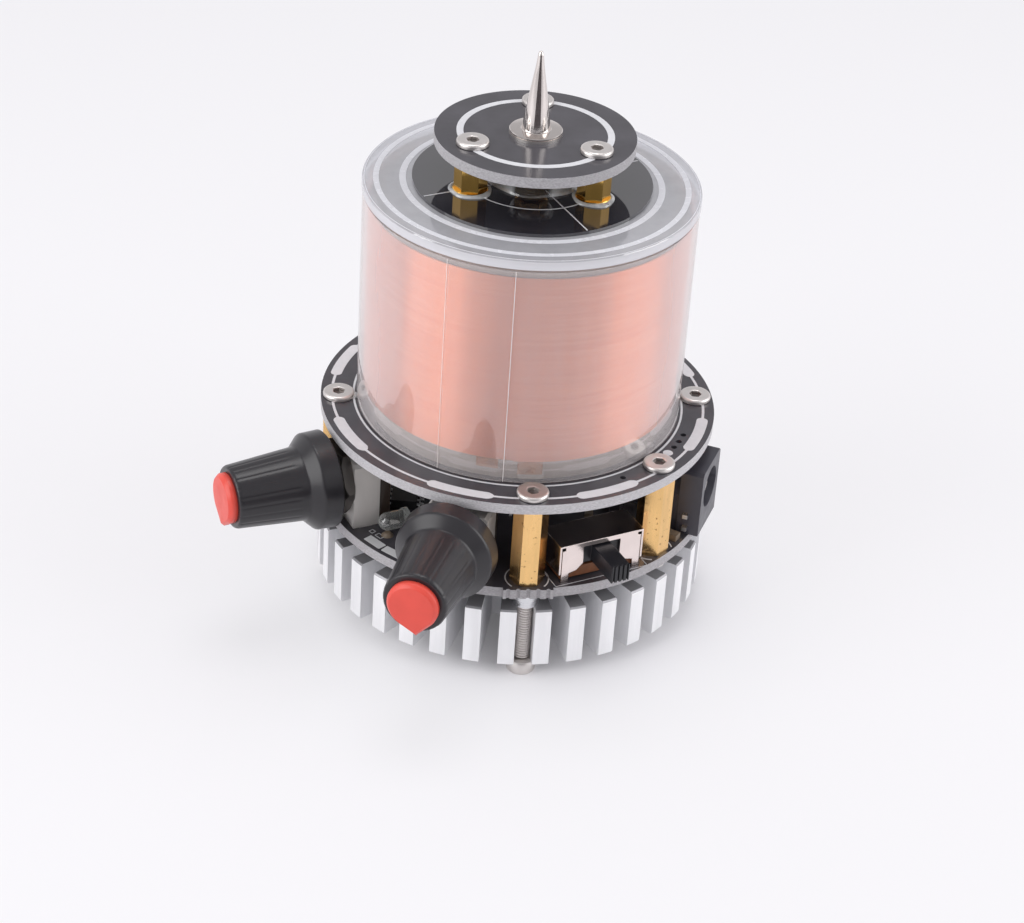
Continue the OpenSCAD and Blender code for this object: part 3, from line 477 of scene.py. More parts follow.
ALUMINIUM = aluminium_finish()
SPACER = finish_of(
    "turned_aluminium", srgb("#dcdde0"), 1, 0.28, bump=0.004, bump_mm=0.1, stretch=(0.1, 0.1, 1),
)
STEEL = finish_of("screw_steel", srgb("#e0dbd8"), 1, 0.36, tone=0.04, rough_by=0.02)
# Dark steel for the discs that paint the shade inside the screws' sockets
SOCKET_SHADE = finish_of("socket_painted_shade", srgb("#6b6563"), 1, 0.45, tone=0.1, tone_mm=0.8)
NUT_STEEL = finish_of("nut_steel", srgb("#76726f"), 1, 0.38, tone=0.06)
BRASS = finish_of(
    "turned_brass", srgb("#efc486"), 1, 0.22, tone=0.09, tone_mm=1.5,
    bump=0.003, bump_mm=0.15, stretch=(1, 1, 0.15), spots=(srgb("#7d5528"), 0.55, 0.64),
)
POST_BRASS = finish_of(
    "post_brass", srgb("#f0c26a"), 1, 0.13, tone=0.08, tone_mm=1.2, rough_by=0.04,
    bump=0.002, bump_mm=0.3, stretch=(1, 1, 0.2),
)
CHROME = finish_of(
    "needle_chrome", srgb("#dcd5d1"), 1, 0.07, tone=0.03, rough_by=0.04,
    bump=0.002, bump_mm=0.1, stretch=(0.15, 0.15, 1),
)
TINNED = finish_of("tinned_metal", srgb("#c9c9cc"), 1, 0.32, bump=0.004)
# Paler, less metallic copy of tinned metal for the chip legs: a painted highlight on legs that sit in
# shade
LIT_PIN_METAL = finish_of("pin_metal_painted_highlight", srgb("#f0f0f2"), 0.4, 0.3)
POT_METAL = finish_of(
    "pot_plated", srgb("#e2deda"), 0.4, 0.42, tone=0.06, bump=0.003, bump_mm=0.2, stretch=(1, 1, 0.3),
)
SWITCH_METAL = finish_of(
    "switch_plated", srgb("#ecdfdb"), 1, 0.22, tone=0.04, tone_mm=4,
    rough_by=0.05, rough_mm=3, bump=0.0006, bump_mm=0.8,
)
BRONZE = finish_of("contact_bronze", srgb("#c98a55"), 1, 0.3)
SHAFT = finish_of("shaft_turned", srgb("#d6d2ca"), 1, 0.25, stretch=(0.2, 0.2, 1))
KNOB = finish_of(
    "knob_plastic", srgb("#242226"), 0, 0.3, tone=0.08, tone_mm=5, rough_by=0.015, rough_mm=4,
)
CAP = finish_of("cap_plastic", srgb("#d84a3d"), 0, 0.36, tone=0.05, tone_mm=4, bump=0.004, bump_mm=0.3)
EPOXY = finish_of("chip_epoxy", srgb("#1c1c1f"), 0, 0.5, bump=0.008, bump_mm=0.15)
SLIDER = finish_of("slider_plastic", srgb("#1f1f24"), 0, 0.35, bump=0.004, bump_mm=0.2)
JACK = finish_of("jack_plastic", srgb("#3d3c45"), 0, 0.36, tone=0.1, bump=0.004, bump_mm=0.2)
PHENOLIC = finish_of(
    "tan_laminate", srgb("#7a4c30"), 0, 0.55, tone=0.15, tone_mm=0.8, bump=0.01, bump_mm=0.2,
)
WAFER = finish_of("brown_wafer", srgb("#33271f"), 0, 0.5, tone=0.15)
SLEEVE = finish_of("capacitor_sleeve", srgb("#1d2028"), 0, 0.28)
CERAMIC = finish_of("chip_ceramic", srgb("#77695a"), 0, 0.5, tone=0.2, tone_mm=1)
PAD_RUBBER = finish_of("thermal_pad", srgb("#7d8798"), 0, 0.7, bump=0.01, bump_mm=0.2)
PRINT = finish_of(
    "white_print", srgb("#d4d4d8"), 0, 0.5, tone=0.04, tone_mm=1.0, bump=0.004, bump_mm=0.15,
)
# White print on the lid, also used for a painted highlight along its outer chamfer
LID_PRINT_AND_GLINT = finish_of("lid_print_and_highlight", srgb("#d6d6dc"), 0, 0.25, tone=0.03, tone_mm=2.0)
# Pale strips on the film's overlap edges, as a painted highlight
SEAM_GLINT = finish_of("film_edge_painted_highlight", srgb("#e6dfde"), 0, 0.3, tone=0.05, tone_mm=2)
LABEL = finish_of("label_print", srgb("#dedee0"), 0, 0.55, tone=0.05)
GLOSS_BLACK = finish_of(
    "gloss_black", srgb("#29282e"), 0, 0.05, tone=0.1, tone_mm=6,
    rough_by=0.02, coat=1.0, coat_rough=0.03, level=1.0,
)
PRIMARY = finish_of("primary_enamel", srgb("#b8683e"), 1, 0.25)
TAPE = finish_of(
    "tan_tape", srgb("#a06a40"), 0, 0.4, tone=0.25, tone_mm=1.2, bump=0.02, bump_mm=0.6,
)
UPPER_BOARD = board_finish("upper_laminate", BOARD_R, "#a19fa2", "#cac8cb")
LOWER_BOARD = board_finish("lower_laminate", BOARD_R, "#8f8c8e", "#b4b2b5")
DISC_BOARD = board_finish("disc_laminate", DISC_R, "#8c8a8d", "#b5b3b6")
WIRE = winding_finish()
TUBE_CLEAR = clear(
    "clear_tube", (0.96, 0.95, 0.94), 0.5, srgb("#ddd2c8"), streak=0.05, stretch=(1, 1, 0.4),
)
FILM_CLEAR = clear(
    "clear_film", (0.99, 0.985, 0.985), 0.09, srgb("#f4eeef"), rough=0.05, ior=1.95,
    streak=0.015, stretch=(1, 1, 0.15), limb=0.3,
)
LID_CLEAR = clear(
    "clear_lid", (0.93, 0.94, 0.97), 0.5, srgb("#dedee4"), rough=0.03, ior=2.5,
    streak=0.03, edge_haze=0.7,
)
NUT_GLUE = clear(
    "nut_glue", (0.95, 0.95, 0.95), 0.58, srgb("#f6f8fa"), rough=0.05, ior=1.9,
    streak=0.3, parting=2.7,
)
GLUE_CLEAR = clear(
    "clear_glue", (0.95, 0.95, 0.95), 0.48, srgb("#f6f8fa"), rough=0.05, ior=2.1, streak=0.25,
)
LAMP_CLEAR = clear(
    "clear_lamp", (0.93, 0.94, 0.93), 0.05, srgb("#d4d6d4"), rough=0.03, ior=2.4, limb=0.55,
)

dress(ALUMINIUM, "heatsink")
dress(SPACER, "board_spacers")
dress(UPPER_BOARD, "upper_board")
dress(LOWER_BOARD, "lower_board")
dress(DISC_BOARD, "discharge_disc")
dress(BRASS, "board_pillars", "needle_nut", "lead_nut")
dress(POST_BRASS, "top_posts")
dress(EPOXY, "power_transistors", "driver_chips", bevel=0.08)
dress(PAD_RUBBER, "thermal_pads", bevel=0.08)
# Chip legs take the lit copy of tinned metal, a painted highlight
dress(LIT_PIN_METAL, "chip_legs")
dress(TINNED, "left_pot_terminals", "front_pot_terminals", "switch_terminals", "dc_jack_terminals")
dress(SLEEVE, "bulk_capacitors")
dress(CERAMIC, "small_parts", bevel=0.06)
dress(LAMP_CLEAR, "status_led")
dress(POT_METAL, "left_pot_shell", "front_pot_shell")
dress(STEEL, "needle_washer")
dress(NUT_STEEL, "left_pot_bush", "left_pot_nut", "front_pot_bush", "front_pot_nut")
dress(WAFER, "left_pot_wafer", "front_pot_wafer", bevel=0.1)
dress(SHAFT, "left_pot_shaft", "front_pot_shaft")
dress(SWITCH_METAL, "switch_frame", bevel=0.12)
dress(PHENOLIC, "switch_base", bevel=0.08)
dress(SLIDER, "switch_slider", bevel=0.08)
dress(BRONZE, "switch_contacts")
dress(JACK, "dc_jack_housing", bevel=0.15)
dress(CHROME, "dc_jack_pin")
dress(PRIMARY, "primary_coil")
dress(TUBE_CLEAR, "coil_former")
dress(FILM_CLEAR, "outer_film")
dress(LID_CLEAR, "top_lid")
dress(GLOSS_BLACK, "inner_disc")


# Fine winding: one wire wound from the low lead to the high lead, a ridge for every turn
def make_winding():
    band_low, band_high, turns, steps = UP_TOP + 3.3, UP_TOP + 33.2, 210, 116
    wire_r, inner, core = 23.72, 23.45, 23.66
    low_lead_az, high_lead_az, lead_r = 150, 154, 0.09
    pitch = (band_high - band_low) / turns
    # Share of the pitch, and rise as a share of the depth
    ridge = [(0.0, 0.0), (0.25, 0.7), (0.5, 1.0), (0.75, 0.7)]
    depth = 0.005
    shape = Shape()
    verts = []
    rows = turns * len(ridge) + 1
    for i in range(rows):
        turn, k = divmod(i, len(ridge))
        share, rise = ridge[k]
        for j in range(steps + 1):
            a = 2 * math.pi * j / steps
            z = min(band_high, band_low + (turn + share + j / steps) * pitch)
            r = wire_r - depth + depth * rise
            verts.append((r * math.sin(a), -r * math.cos(a), z))
    n = steps + 1
    faces = [
        [i * n + j, i * n + j + 1, (i + 1) * n + j + 1, (i + 1) * n + j]
        for i in range(rows - 1)
        for j in range(steps)
    ]
    shape.add(verts, faces)
    shape.lathe(
        [(inner, band_low + pitch), (core, band_low + pitch), (core, band_high), (inner, band_high)],
        steps,
        loop=True,
    )
    for az, low, high in (
        (low_lead_az, UP_TOP, band_low + pitch),
        (high_lead_az, band_high, LID_UNDER),
    ):
        path = [polar(az, wire_r - 0.1, low + (high - low) * k / 6) for k in range(7)]
        shape.tube(path, lead_r, 8)
    piece(
        "fine_winding", shape, WIRE, stands_for=["secondary_winding"], sharp=80,
    )


# Screws
BOARD_HEAD = (4.75, 0.85, 1.7)  # diameter, height and width of the hex socket
FOOT_HEAD = (4.3, SINK_LOW, 2.0)


def screw_head(shape, shade_discs, size, place, turn, edge=0.35):
    """Head with a rounded rim and a hex socket, from z = 0 up +Z, with a dark disc near the socket's
    floor that paints the shade inside it.

    size is the diameter, the height and the socket's width across flats.
    """
    d, h, af = size
    r, steps, chamfer = d / 2, 48, 0.12
    profile = [(TINY_R, 0.0), (r - chamfer, 0.0), (r, chamfer), (r, h - edge)]
    for degrees in (30, 60, 90):
        a = math.radians(degrees)
        profile.append((r - edge + edge * math.cos(a), h - edge + edge * math.sin(a)))
    turnings = turn_of(steps)
    rows = [[(q * c, q * s, z) for c, s in turnings] for q, z in profile]
    socket_r = af / 2 / math.cos(math.pi / 6)

    def hex_ring(scale, z):
        row = []
        for k in range(steps):
            a = 2 * math.pi * k / steps
            local = (a - math.radians(turn)) % (math.pi / 3) - math.pi / 6
            q = socket_r * math.cos(math.pi / 6) / math.cos(local) * scale
            row.append((q * math.cos(a), q * math.sin(a), z))
        return row

    # Two rings a hair apart at each side keep the flat face flat
    for q in (r - edge - 0.04, socket_r * 1.16, socket_r * 1.12):
        rows.append([(q * c, q * s, h) for c, s in turnings])
    # Scale of the hex and height: the socket's mouth, its wall and its drilled end
    levels = ((1.0, h - 0.08), (1.0, h - 0.12), (1.0, h * 0.3), (0.05, h * 0.22))
    rows += [hex_ring(scale, z) for scale, z in levels]
    shape.rings(rows, place)
    # A dark disc just above the socket's floor paints the shade that falls inside it
    painted_shade_floor = [(x, y) for x, y, z in hex_ring(0.9, h)]
    shade_discs.prism(painted_shade_floor, h * 0.31, h * 0.42, place)


def thread(shape, place, length):
    """Screw thread that runs down from z = 0, as one helical ridge round a core."""
    r, pitch, depth, n = 1.24, 0.45, 0.27, 20
    # Share of the pitch, and rise as a share of the depth
    ridge = [(0.0, 0.0), (0.16, 0.0), (0.36, 0.9), (0.45, 1.0), (0.75, 1.0), (0.84, 0.9)]
    per = len(ridge)
    rows = int(length / pitch) * per
    verts = []
    for i in range(rows):
        turn, k = divmod(i, per)
        part, rise = ridge[k]
        q = r - depth + depth * rise
        for j, (c, s) in enumerate(turn_of(n)):
            verts.append((q * c, q * s, -min(length, (turn + part + j / n) * pitch)))
    faces = [
        [i * n + j, i * n + j + 1, (i + 1) * n + j + 1, (i + 1) * n + j]
        for i in range(rows - 1)
        for j in range(n - 1)
    ]
    # The last column of one turn meets the first of the next, one pitch lower
    faces += [
        [i * n + n - 1, (i + per) * n, (i + per + 1) * n, (i + 1) * n + n - 1]
        for i in range(rows - per - 1)
    ]
    shape.add(verts, faces, place)


def make_screws():
    random.seed(4)
    beyond = 3.0  # how far the foot screws' threads run on above the heatsink
    shade_discs = Shape()
    over = Matrix.Rotation(math.pi, 4, "X")
    for name, node, azs, r, z, way in (
        ("board_screw_heads", "upper_board_screws", PILLARS, PILLAR_R, UP_TOP, IDENTITY),
        ("disc_screw_heads", "disc_screws", POST_AZS, POST_R, DISC_TOP, IDENTITY),
        ("short_screw_heads", "lower_board_screws", SHORT_SCREWS, PILLAR_R, LOW_UNDER, over),
    ):
        heads = Shape()
        for az in azs:
            screw_head(heads, shade_discs, BOARD_HEAD, upright(az, r, z) @ way, random.uniform(0, 60))
        piece(name, heads, STEEL, stands_for=[node])
    feet = Shape()
    for az in FEET:
        seat = upright(az, PILLAR_R, SINK_LOW) @ over
        screw_head(feet, shade_discs, FOOT_HEAD, seat, random.uniform(0, 60), edge=0.3)
        thread(feet, seat, SINK_TOP - SINK_LOW + beyond)
    piece("foot_screws", feet, STEEL, stands_for=["heatsink_screws"], sharp=60)
    # Dark discs in the sockets, as painted shade
    piece("socket_painted_shade_discs", shade_discs, SOCKET_SHADE)


# Needle, turned from one bar
def make_needle():
    seat = top_of("needle_washer")
    length = NEEDLE_TIP - seat
    tip_r = 0.32
    # Radius and distance below the tip, up the curved cone
    falls = [(1.88, 10.3), (1.6, 8.3), (1.27, 6.2), (0.94, 4.2), (0.63, 2.3)]
    profile = [(0.0, 0.0), (3.75, 0.0), (3.85, 0.1), (3.85, 0.26), (3.75, 0.34), (3.6, 0.36)]
    profile += [(2.22, 0.38), (2.12, 0.46)]
    flange_points, tip_points = 7, 6
    profile += [(r, length - fall) for r, fall in falls]
    profile += [(0.4, length - tip_r * 1.3)]
    for a in (0.3, 0.7, 1.1, 1.4):
        profile.append((tip_r * math.cos(a), length - tip_r + tip_r * math.sin(a)))
    profile += [(0.0, length)]
    shape = Shape()
    place = Matrix.Translation((0, 0, seat))
    smooth = smooth_profile(profile, flange_points, len(profile) - tip_points)
    shape.lathe([(max(r, TINY_R / 5), z) for r, z in smooth], 96, place)
    stud_r, stud_low = 1.15, -4.7
    stud = [(TINY_R, stud_low), (stud_r - 0.15, stud_low), (stud_r, stud_low + 0.2)]
    stud += [(stud_r, 0.0), (TINY_R, 0.0)]
    shape.lathe(stud, 32, place)
    piece("polished_needle", shape, CHROME, stands_for=["needle"], sharp=30)


def smooth_profile(points, start, end):
    """Puts a Catmull-Rom curve through the points from start to end."""
    steps = 4
    out = []
    for i, p in enumerate(points[:-1]):
        out.append(p)
        if not start <= i < end:
            continue
        a, b, c, d = points[max(i - 1, start)], p, points[i + 1], points[min(i + 2, end)]
        for k in range(1, steps):
            t = k / steps
            out.append(
                tuple(
                    0.5
                    * (
                        2 * b[q]
                        + (c[q] - a[q]) * t
                        + (2 * a[q] - 5 * b[q] + 4 * c[q] - d[q]) * t**2
                        + (3 * b[q] - a[q] - 3 * c[q] + d[q]) * t**3
                    )
                    for q in (0, 1)
                )
            )
    return out + [points[-1]]


# Knobs: a fluted cone over a rounded skirt, moulded hollow at the back
KNOB_GAP = 1.15
KNOB_L = 15.4
SKIRT_L = 3.1
SHOULDER_L = 1.6
KNOB_STEPS = 240
CAP_SEAT_R, CAP_SEAT_DEEP = 3.3, 1.2  # recess in the knob's end that takes the cap


def knob_rows():
    """Rings of the knob's outside from the skirt's back edge to the middle of its end."""
    skirt, body, end, flutes = 7.4, 5.62, 4.75, 20
    cone_low = SKIRT_L + SHOULDER_L
    flute_deep, blend_start, blend_end = 0.055, cone_low + 1.1, cone_low + 1.6
    rows = []

    def ring(r, z, deep=0.0):
        row = []
        for k, (c, s) in enumerate(turn_of(KNOB_STEPS)):
            share = abs(2 * ((k * flutes / KNOB_STEPS) % 1.0) - 1)
            q = r - deep * max(0.0, 1 - share / 0.45) ** 1.5
            row.append((q * c, q * s, z))
        rows.append(row)

    outer = [(skirt - 0.2, 0.0), (skirt, 0.2), (skirt - 0.06, SKIRT_L - 0.3)]
    outer += [(skirt - 0.1, SKIRT_L - 0.12), (skirt - 0.22, SKIRT_L + 0.06)]
    outer += [(skirt - 0.38, SKIRT_L + 0.22), (body + 0.2, cone_low - 0.2)]
    outer += [(body + 0.07, cone_low - 0.07), (body, cone_low + 0.08)]
    for r, z in tight(outer):
        ring(r, z)
    count, cone_from, cone_to = 30, cone_low + 0.08, KNOB_L - 0.45
    for k in range(1, count + 1):
        z = cone_from + (cone_to - cone_from) * k / count
        t = min(1.0, max(0.0, (z - blend_start) / (blend_end - blend_start)))
        r = body + (end - body) * (z - cone_low) / (KNOB_L - cone_low)
        ring(r, z, flute_deep * t * t * (3 - 2 * t))
    ring(end - 0.08, KNOB_L - 0.15, flute_deep * 0.7)
    ring(end - 0.22, KNOB_L, flute_deep * 0.3)
    ring(end - 0.5, KNOB_L)
    ring(CAP_SEAT_R, KNOB_L)
    ring(CAP_SEAT_R, KNOB_L - CAP_SEAT_DEEP)
    ring(TINY_R, KNOB_L - CAP_SEAT_DEEP)
    return rows


def tight(points):
    """Adds points close to both ends of each long stretch, so that it shades flat between."""
    hug = 0.1
    out = []
    for a, b in zip(points, points[1:]):
        out.append(a)
        length = math.dist(a, b)
        if length > 4 * hug:
            for away in (hug, length - hug):
                out.append(tuple(p + (q - p) * away / length for p, q in zip(a, b)))
    return out + [points[-1]]


def make_knob(side, pointer):
    """Knob and cap, whose point is turned by pointer degrees."""
    place = at_joint(f"{side}_knob_turn", KNOB_GAP)
    body = f"{side}_control"
    shape = Shape()
    hollow_r, hub_r, bore_r, bore_l = 6.2, 3.9, 3.03, 12.6
    back = [(6.95, 0.0), (hollow_r, 0.25), (hollow_r, 3.0), (hub_r, 3.0)]
    back += [(hub_r, 1.2), (bore_r, 1.2), (bore_r, bore_l), (TINY_R, bore_l)]
    inside = [[(r * c, r * s, z) for c, s in turn_of(KNOB_STEPS)] for r, z in back]
    shape.rings(inside[::-1] + knob_rows(), place)
    piece(
        f"{side}_knob_moulding", shape, KNOB, body=body,
        stands_for=[f"{side}_knob"], sharp=50,
    )
    cap = Shape()
    spin = place @ Matrix.Rotation(math.radians(pointer), 4, "Z")
    # Share of the outline, and height above the knob's end
    levels = [(0.99, 0.0), (1.0, 0.06), (1.0, 0.82), (0.992, 0.88), (0.885, 1.36)]
    levels += [(0.87, 1.385), (0.85, 1.395), (0.4, 1.4), (0.01, 1.4)]
    outline = drop_outline(3.8, 4.85)
    cap.rings([[(x * q, y * q, KNOB_L + z) for x, y in outline] for q, z in levels], spin)
    plug_r, low, high = 3.1, KNOB_L - 1.15, KNOB_L + 0.02
    cap.lathe([(TINY_R, low), (plug_r, low), (plug_r, high), (TINY_R, high)], 64, spin)
    piece(
        f"{side}_cap_moulding", cap, CAP, body=body,
        stands_for=[f"{side}_knob_cap"], sharp=40,
    )


def drop_outline(r, tip):
    """Circle drawn out to a rounded point at the bottom."""
    steps, sides, nose = 56, 6, 0.3
    side = math.acos(r / tip)
    start, end = -math.pi / 2 + side, 1.5 * math.pi - side
    angles = [start + (end - start) * k / steps for k in range(steps + 1)]
    points = [(r * math.cos(a), r * math.sin(a)) for a in angles]
    left, right = points[-1], points[0]
    tip_y = -tip + nose * 0.6
    for k in range(1, sides):
        t = k / sides
        points.append((left[0] * (1 - t) - nose * t * 0.7, left[1] * (1 - t) + (tip_y + 0.05) * t))
    points += [(-nose * 0.45, -tip + 0.16), (0, -tip + 0.02), (nose * 0.45, -tip + 0.16)]
    for k in range(sides - 1, 0, -1):
        t = k / sides
        points.append((right[0] * (1 - t) + nose * t * 0.7, right[1] * (1 - t) + (tip_y + 0.05) * t))
    return points


# Printed lines and pads
PRINT_T = 0.03


def pad_width(az):
    """Half width of the outer ring line, which swells into a pad in each bay."""
    thin, wide, half_pad, shoulder = 0.2, 0.85, 9.9, 1.2
    first = -60.4
    centre = first + PILLAR_STEP * round((az - first) / PILLAR_STEP)
    away = abs(az - centre)
    if away < half_pad - shoulder:
        return wide
    if away < half_pad:
        return wide - 0.35 * (away - half_pad + shoulder) / shoulder
    return thin


def dash(shape, place, x1, y1, x2, y2):
    """Thin printed line between two points of a place."""
    half = 0.055
    along = Vector((x2 - x1, y2 - y1)).normalized()
    side = Vector((-along.y, along.x)) * half
    a, b = Vector((x1, y1)) - along * half, Vector((x2, y2)) + along * half
    outline = [tuple(a - side), tuple(b - side), tuple(b + side), tuple(a + side)]
    shape.prism(outline, 0, PRINT_T, place)


def circle_line(shape, r, half, z, steps):
    """Printed line round the axis, whose half width is a number or a function of the azimuth."""
    half_at = half if callable(half) else lambda az: half
    rows = []
    for k in range(steps):
        az = 360 * k / steps
        w = half_at(az)
        section = ((r - w, z), (r + w, z), (r + w, z + PRINT_T), (r - w, z + PRINT_T))
        rows.append([polar(az, q, level) for q, level in section])
    shape.rings(rows, loop=True)


def make_prints():
    rings = Shape()
    circle_line(rings, r=25.03, half=0.16, z=UP_TOP, steps=180)
    circle_line(rings, r=28.3, half=pad_width, z=UP_TOP, steps=720)
    x, y = polar(az=59.7, r=26.35, z=0).to_2d()
    rings.prism(circle(r=0.75, steps=24, x=x, y=y), UP_TOP, UP_TOP + PRINT_T)
    piece("upper_board_print", rings, PRINT)

    disc = Shape()
    circle_line(disc, r=10.9, half=0.5, z=DISC_TOP, steps=180)
    piece("discharge_disc_print", disc, PRINT)

    lines = Shape()
    half, outer, inner = 0.09, -17.3, -4.2
    circle_line(lines, r=10.0, half=half, z=INNER_TOP, steps=120)
    for az in (28, 118, 208, 298):
        outline = [(-half, outer), (half, outer), (half, inner), (-half, inner)]
        lines.prism(outline, 0, PRINT_T, upright(az, 0, INNER_TOP))
    piece("inner_disc_print", lines, PRINT)

    lid = Shape()
    # Two printed rings, then a thin pale ring at the outer chamfer that is a painted highlight
    for r, half in ((18.85, 0.48), (22.7, 0.42), (24.42, 0.06)):
        circle_line(lid, r, half, z=LID_TOP, steps=160)
    piece("lid_rings_and_edge_highlight", lid, LID_PRINT_AND_GLINT)

    low = Shape()
    # Ring round each pillar, open where it would leave the board
    opening, steps = 48, 40
    section = ((3.1, 0), (3.3, 0), (3.3, PRINT_T), (3.1, PRINT_T))
    turn = [math.radians(opening - 90 + (360 - 2 * opening) * k / steps) for k in range(steps + 1)]
    for az in PILLARS:
        rows = [[(q * math.cos(a), q * math.sin(a), z) for q, z in section] for a in turn]
        low.rings(rows, upright(az, PILLAR_R, LOW_TOP))
    # Outline of the switch, moved a little along it
    switch = upright(SWITCH_AZ, 0, LOW_TOP)
    front, back, left, right = -28.95, -22.2, -7.6 + 0.6, 7.6 + 0.6
    for x1, y1, x2, y2 in (
        (left, front, right, front),
        (left, back, right, back),
        (left, front, left, back),
        (right, front, right, back),
    ):
        dash(low, switch, x1, y1, x2, y2)
    # Outlines of two small parts beside the clear lamp
    for x, y, w, h in ((-19.2, -18.8, 1.2, 0.8), (-20.4, -17.7, 0.7, 0.7)):
        place = Matrix.Translation((x, y, LOW_TOP)) @ Matrix.Rotation(math.radians(-44), 4, "Z")
        c = [(-w / 2, -h / 2), (w / 2, -h / 2), (w / 2, h / 2), (-w / 2, h / 2)]
        for a in range(4):
            dash(low, place, *c[a], *c[(a + 1) % 4])
    piece("lower_board_print", low, PRINT)

    labels = Shape()
    label = rounded(w=3.4, h=1.5, r=0.15)
    for az in (-44, -36.5):
        labels.prism(label, 0, PRINT_T, upright(az, 28.5, LOW_TOP))
    piece("lower_board_labels", labels, LABEL)


def make_seam_glints():
    """Pale strips on the edges of the film's overlap: a painted highlight where they catch the light."""
    low, high = UP_TOP + 0.35, LID_UNDER - 0.35
    inner = FILM_R + 0.1
    outer = inner + 0.04
    for name, az, half in (("film_seam_front_glint", -3.2, 0.045), ("film_seam_left_glint", -26.5, 0.03)):
        x = outwards(az + 90)
        section = ((-half, inner), (half, inner), (half, outer), (-half, outer))
        rows = [[polar(az, r, z) + x * s for s, r in section] for z in (low, high)]
        piece(name, Shape().rings(rows), SEAM_GLINT)


def make_tapes():
    """Tan tape that holds the lower lead, seen through the film below the copper."""
    inner, outer, steps = 23.2, 23.3, 8
    for name, low_az, high_az, low, high in (
        ("lead_tape_left", -13.5, -5.5, 1.6, 3.7),
        ("lead_tape_right", 1.5, 10.5, 0.9, 3.2),
    ):
        section = ((inner, low), (outer, low), (outer, high), (inner, high))
        azs = [low_az + (high_az - low_az) * k / steps for k in range(steps + 1)]
        rows = [[polar(az, r, UP_TOP + z) for r, z in section] for az in azs]
        piece(name, Shape().rings(rows), TAPE)


def make_glue():
    """Beads of clear glue round the posts' feet and round the two nuts on the axis."""
    random.seed(11)
    post_hole, nut_hole = 2.62, 2.46
    beads = Shape()
    for az in POST_AZS:
        foot = Matrix.Translation(polar(az, POST_R, INNER_TOP))
        lump(beads, foot, r=3.1, h=0.4, hole=post_hole, phase=random.uniform(0, 6))
    piece("post_glue_beads", beads, GLUE_CLEAR, stands_for=["post_glue"], sharp=80)
    nuts = Shape()
    low = Matrix.Translation((0, 0, INNER_TOP))
    high = Matrix.Translation((0, 0, DISC_UNDER)) @ Matrix.Rotation(math.pi, 4, "X")
    lump(nuts, low, r=6.6, h=1.5, hole=nut_hole, phase=2.0)
    lump(nuts, high, r=3.2, h=1.4, hole=nut_hole, phase=1.0)
    piece("nut_glue_lumps", nuts, NUT_GLUE, stands_for=["nut_glue"], sharp=80)
    drops = Shape()
    for az, r, h, phase in ((-83, 0.9, 0.6, 0.5), (128, 0.8, 0.5, 1.5)):
        foot = Matrix.Translation(polar(az, 25.2, UP_TOP))
        lump(drops, foot, r, h, hole=0.02, phase=phase, steps=24)
    piece("board_glue_drops", drops, GLUE_CLEAR, sharp=80)


def lump(shape, place, r, h, hole, phase, steps=64):
    """Low uneven dome of radius r and height h with a hole in its middle."""
    rows, levels = [], 8
    for k in range(levels):
        a = math.pi / 2 * (k / (levels - 1))
        row = []
        for j in range(steps):
            b = 2 * math.pi * j / steps
            wobble = 1 + 0.04 * math.sin(2 * b + phase) + 0.03 * math.sin(5 * b + 2 * phase)
            q = hole + (r * wobble - hole) * math.cos(a)
            z = h * math.sin(a) * (1 + 0.1 * math.sin(2 * b + phase))
            row.append((q * math.cos(b), q * math.sin(b), z))
        rows.append(row)
    rows.append([(hole * c, hole * s, 0) for c, s in turn_of(steps)])
    shape.rings(rows, place, loop=True)


# Floor, lamps, world and camera, in metres
FLOOR_COLOUR = srgb("#f1f0f3")
FLOOR_HALF = 30.0
OWN_SHARE, OWN_SHARE_BELOW = 0.6, 0.1  # how much of the floor shows its colour unlit
BELOW_CENTRE, BELOW_R, BELOW_FADE_R = (0.005, -0.003, 0), 0.024, 0.037
FRONT_LEVEL, SIDE_LEVEL, BACK_LEVEL, CAMERA_DIM, MIRROR_DIM = 0.76, 0.55, 0.95, 0.26, 0.36
AIM = (0, 0, 0.04)


def make_stage():
    """Pale floor that partly shows its own colour unlit, less so in the deep shade below the object."""
    n = Nodes("pale_floor")
    lit = n.new("ShaderNodeBsdfDiffuse")
    lit.inputs["Color"].default_value = [*FLOOR_COLOUR, 1]
    own = n.new("ShaderNodeEmission")
    own.inputs["Color"].default_value = [*FLOOR_COLOUR, 1]
    own.inputs["Strength"].default_value = 1.0
    path = n.new("ShaderNodeLightPath")
    beside = n.new("ShaderNodeVectorMath", operation="DISTANCE")
    n.link(n.new("ShaderNodeNewGeometry").outputs["Position"], beside.inputs[0])
    beside.inputs[1].default_value = BELOW_CENTRE
    share = n.new("ShaderNodeMath", operation="MULTIPLY")
    own_share = n.ranged(
        beside.outputs["Value"], OWN_SHARE_BELOW, OWN_SHARE, BELOW_R, BELOW_FADE_R
    )
    n.link(own_share, share.inputs[1])
    seen = path.outputs["Is Camera Ray"]
    for kind in ("Is Glossy Ray", "Is Transmission Ray"):
        either = n.new("ShaderNodeMath", operation="MAXIMUM")
        n.link(seen, either.inputs[0])
        n.link(path.outputs[kind], either.inputs[1])
        seen = either.outputs[0]
    n.link(seen, share.inputs[0])
    mat = n.done(n.mix_shader(share.outputs[0], lit.outputs[0], own.outputs[0]))
    mesh = bpy.data.meshes.new("floor")
    h = FLOOR_HALF
    mesh.from_pydata([(-h, -h, 0), (h, -h, 0), (h, h, 0), (-h, h, 0)], [], [[0, 1, 2, 3]])
    floor = bpy.data.objects.new("floor", mesh)
    bpy.context.scene.collection.objects.link(floor)
    mesh.materials.append(mat)


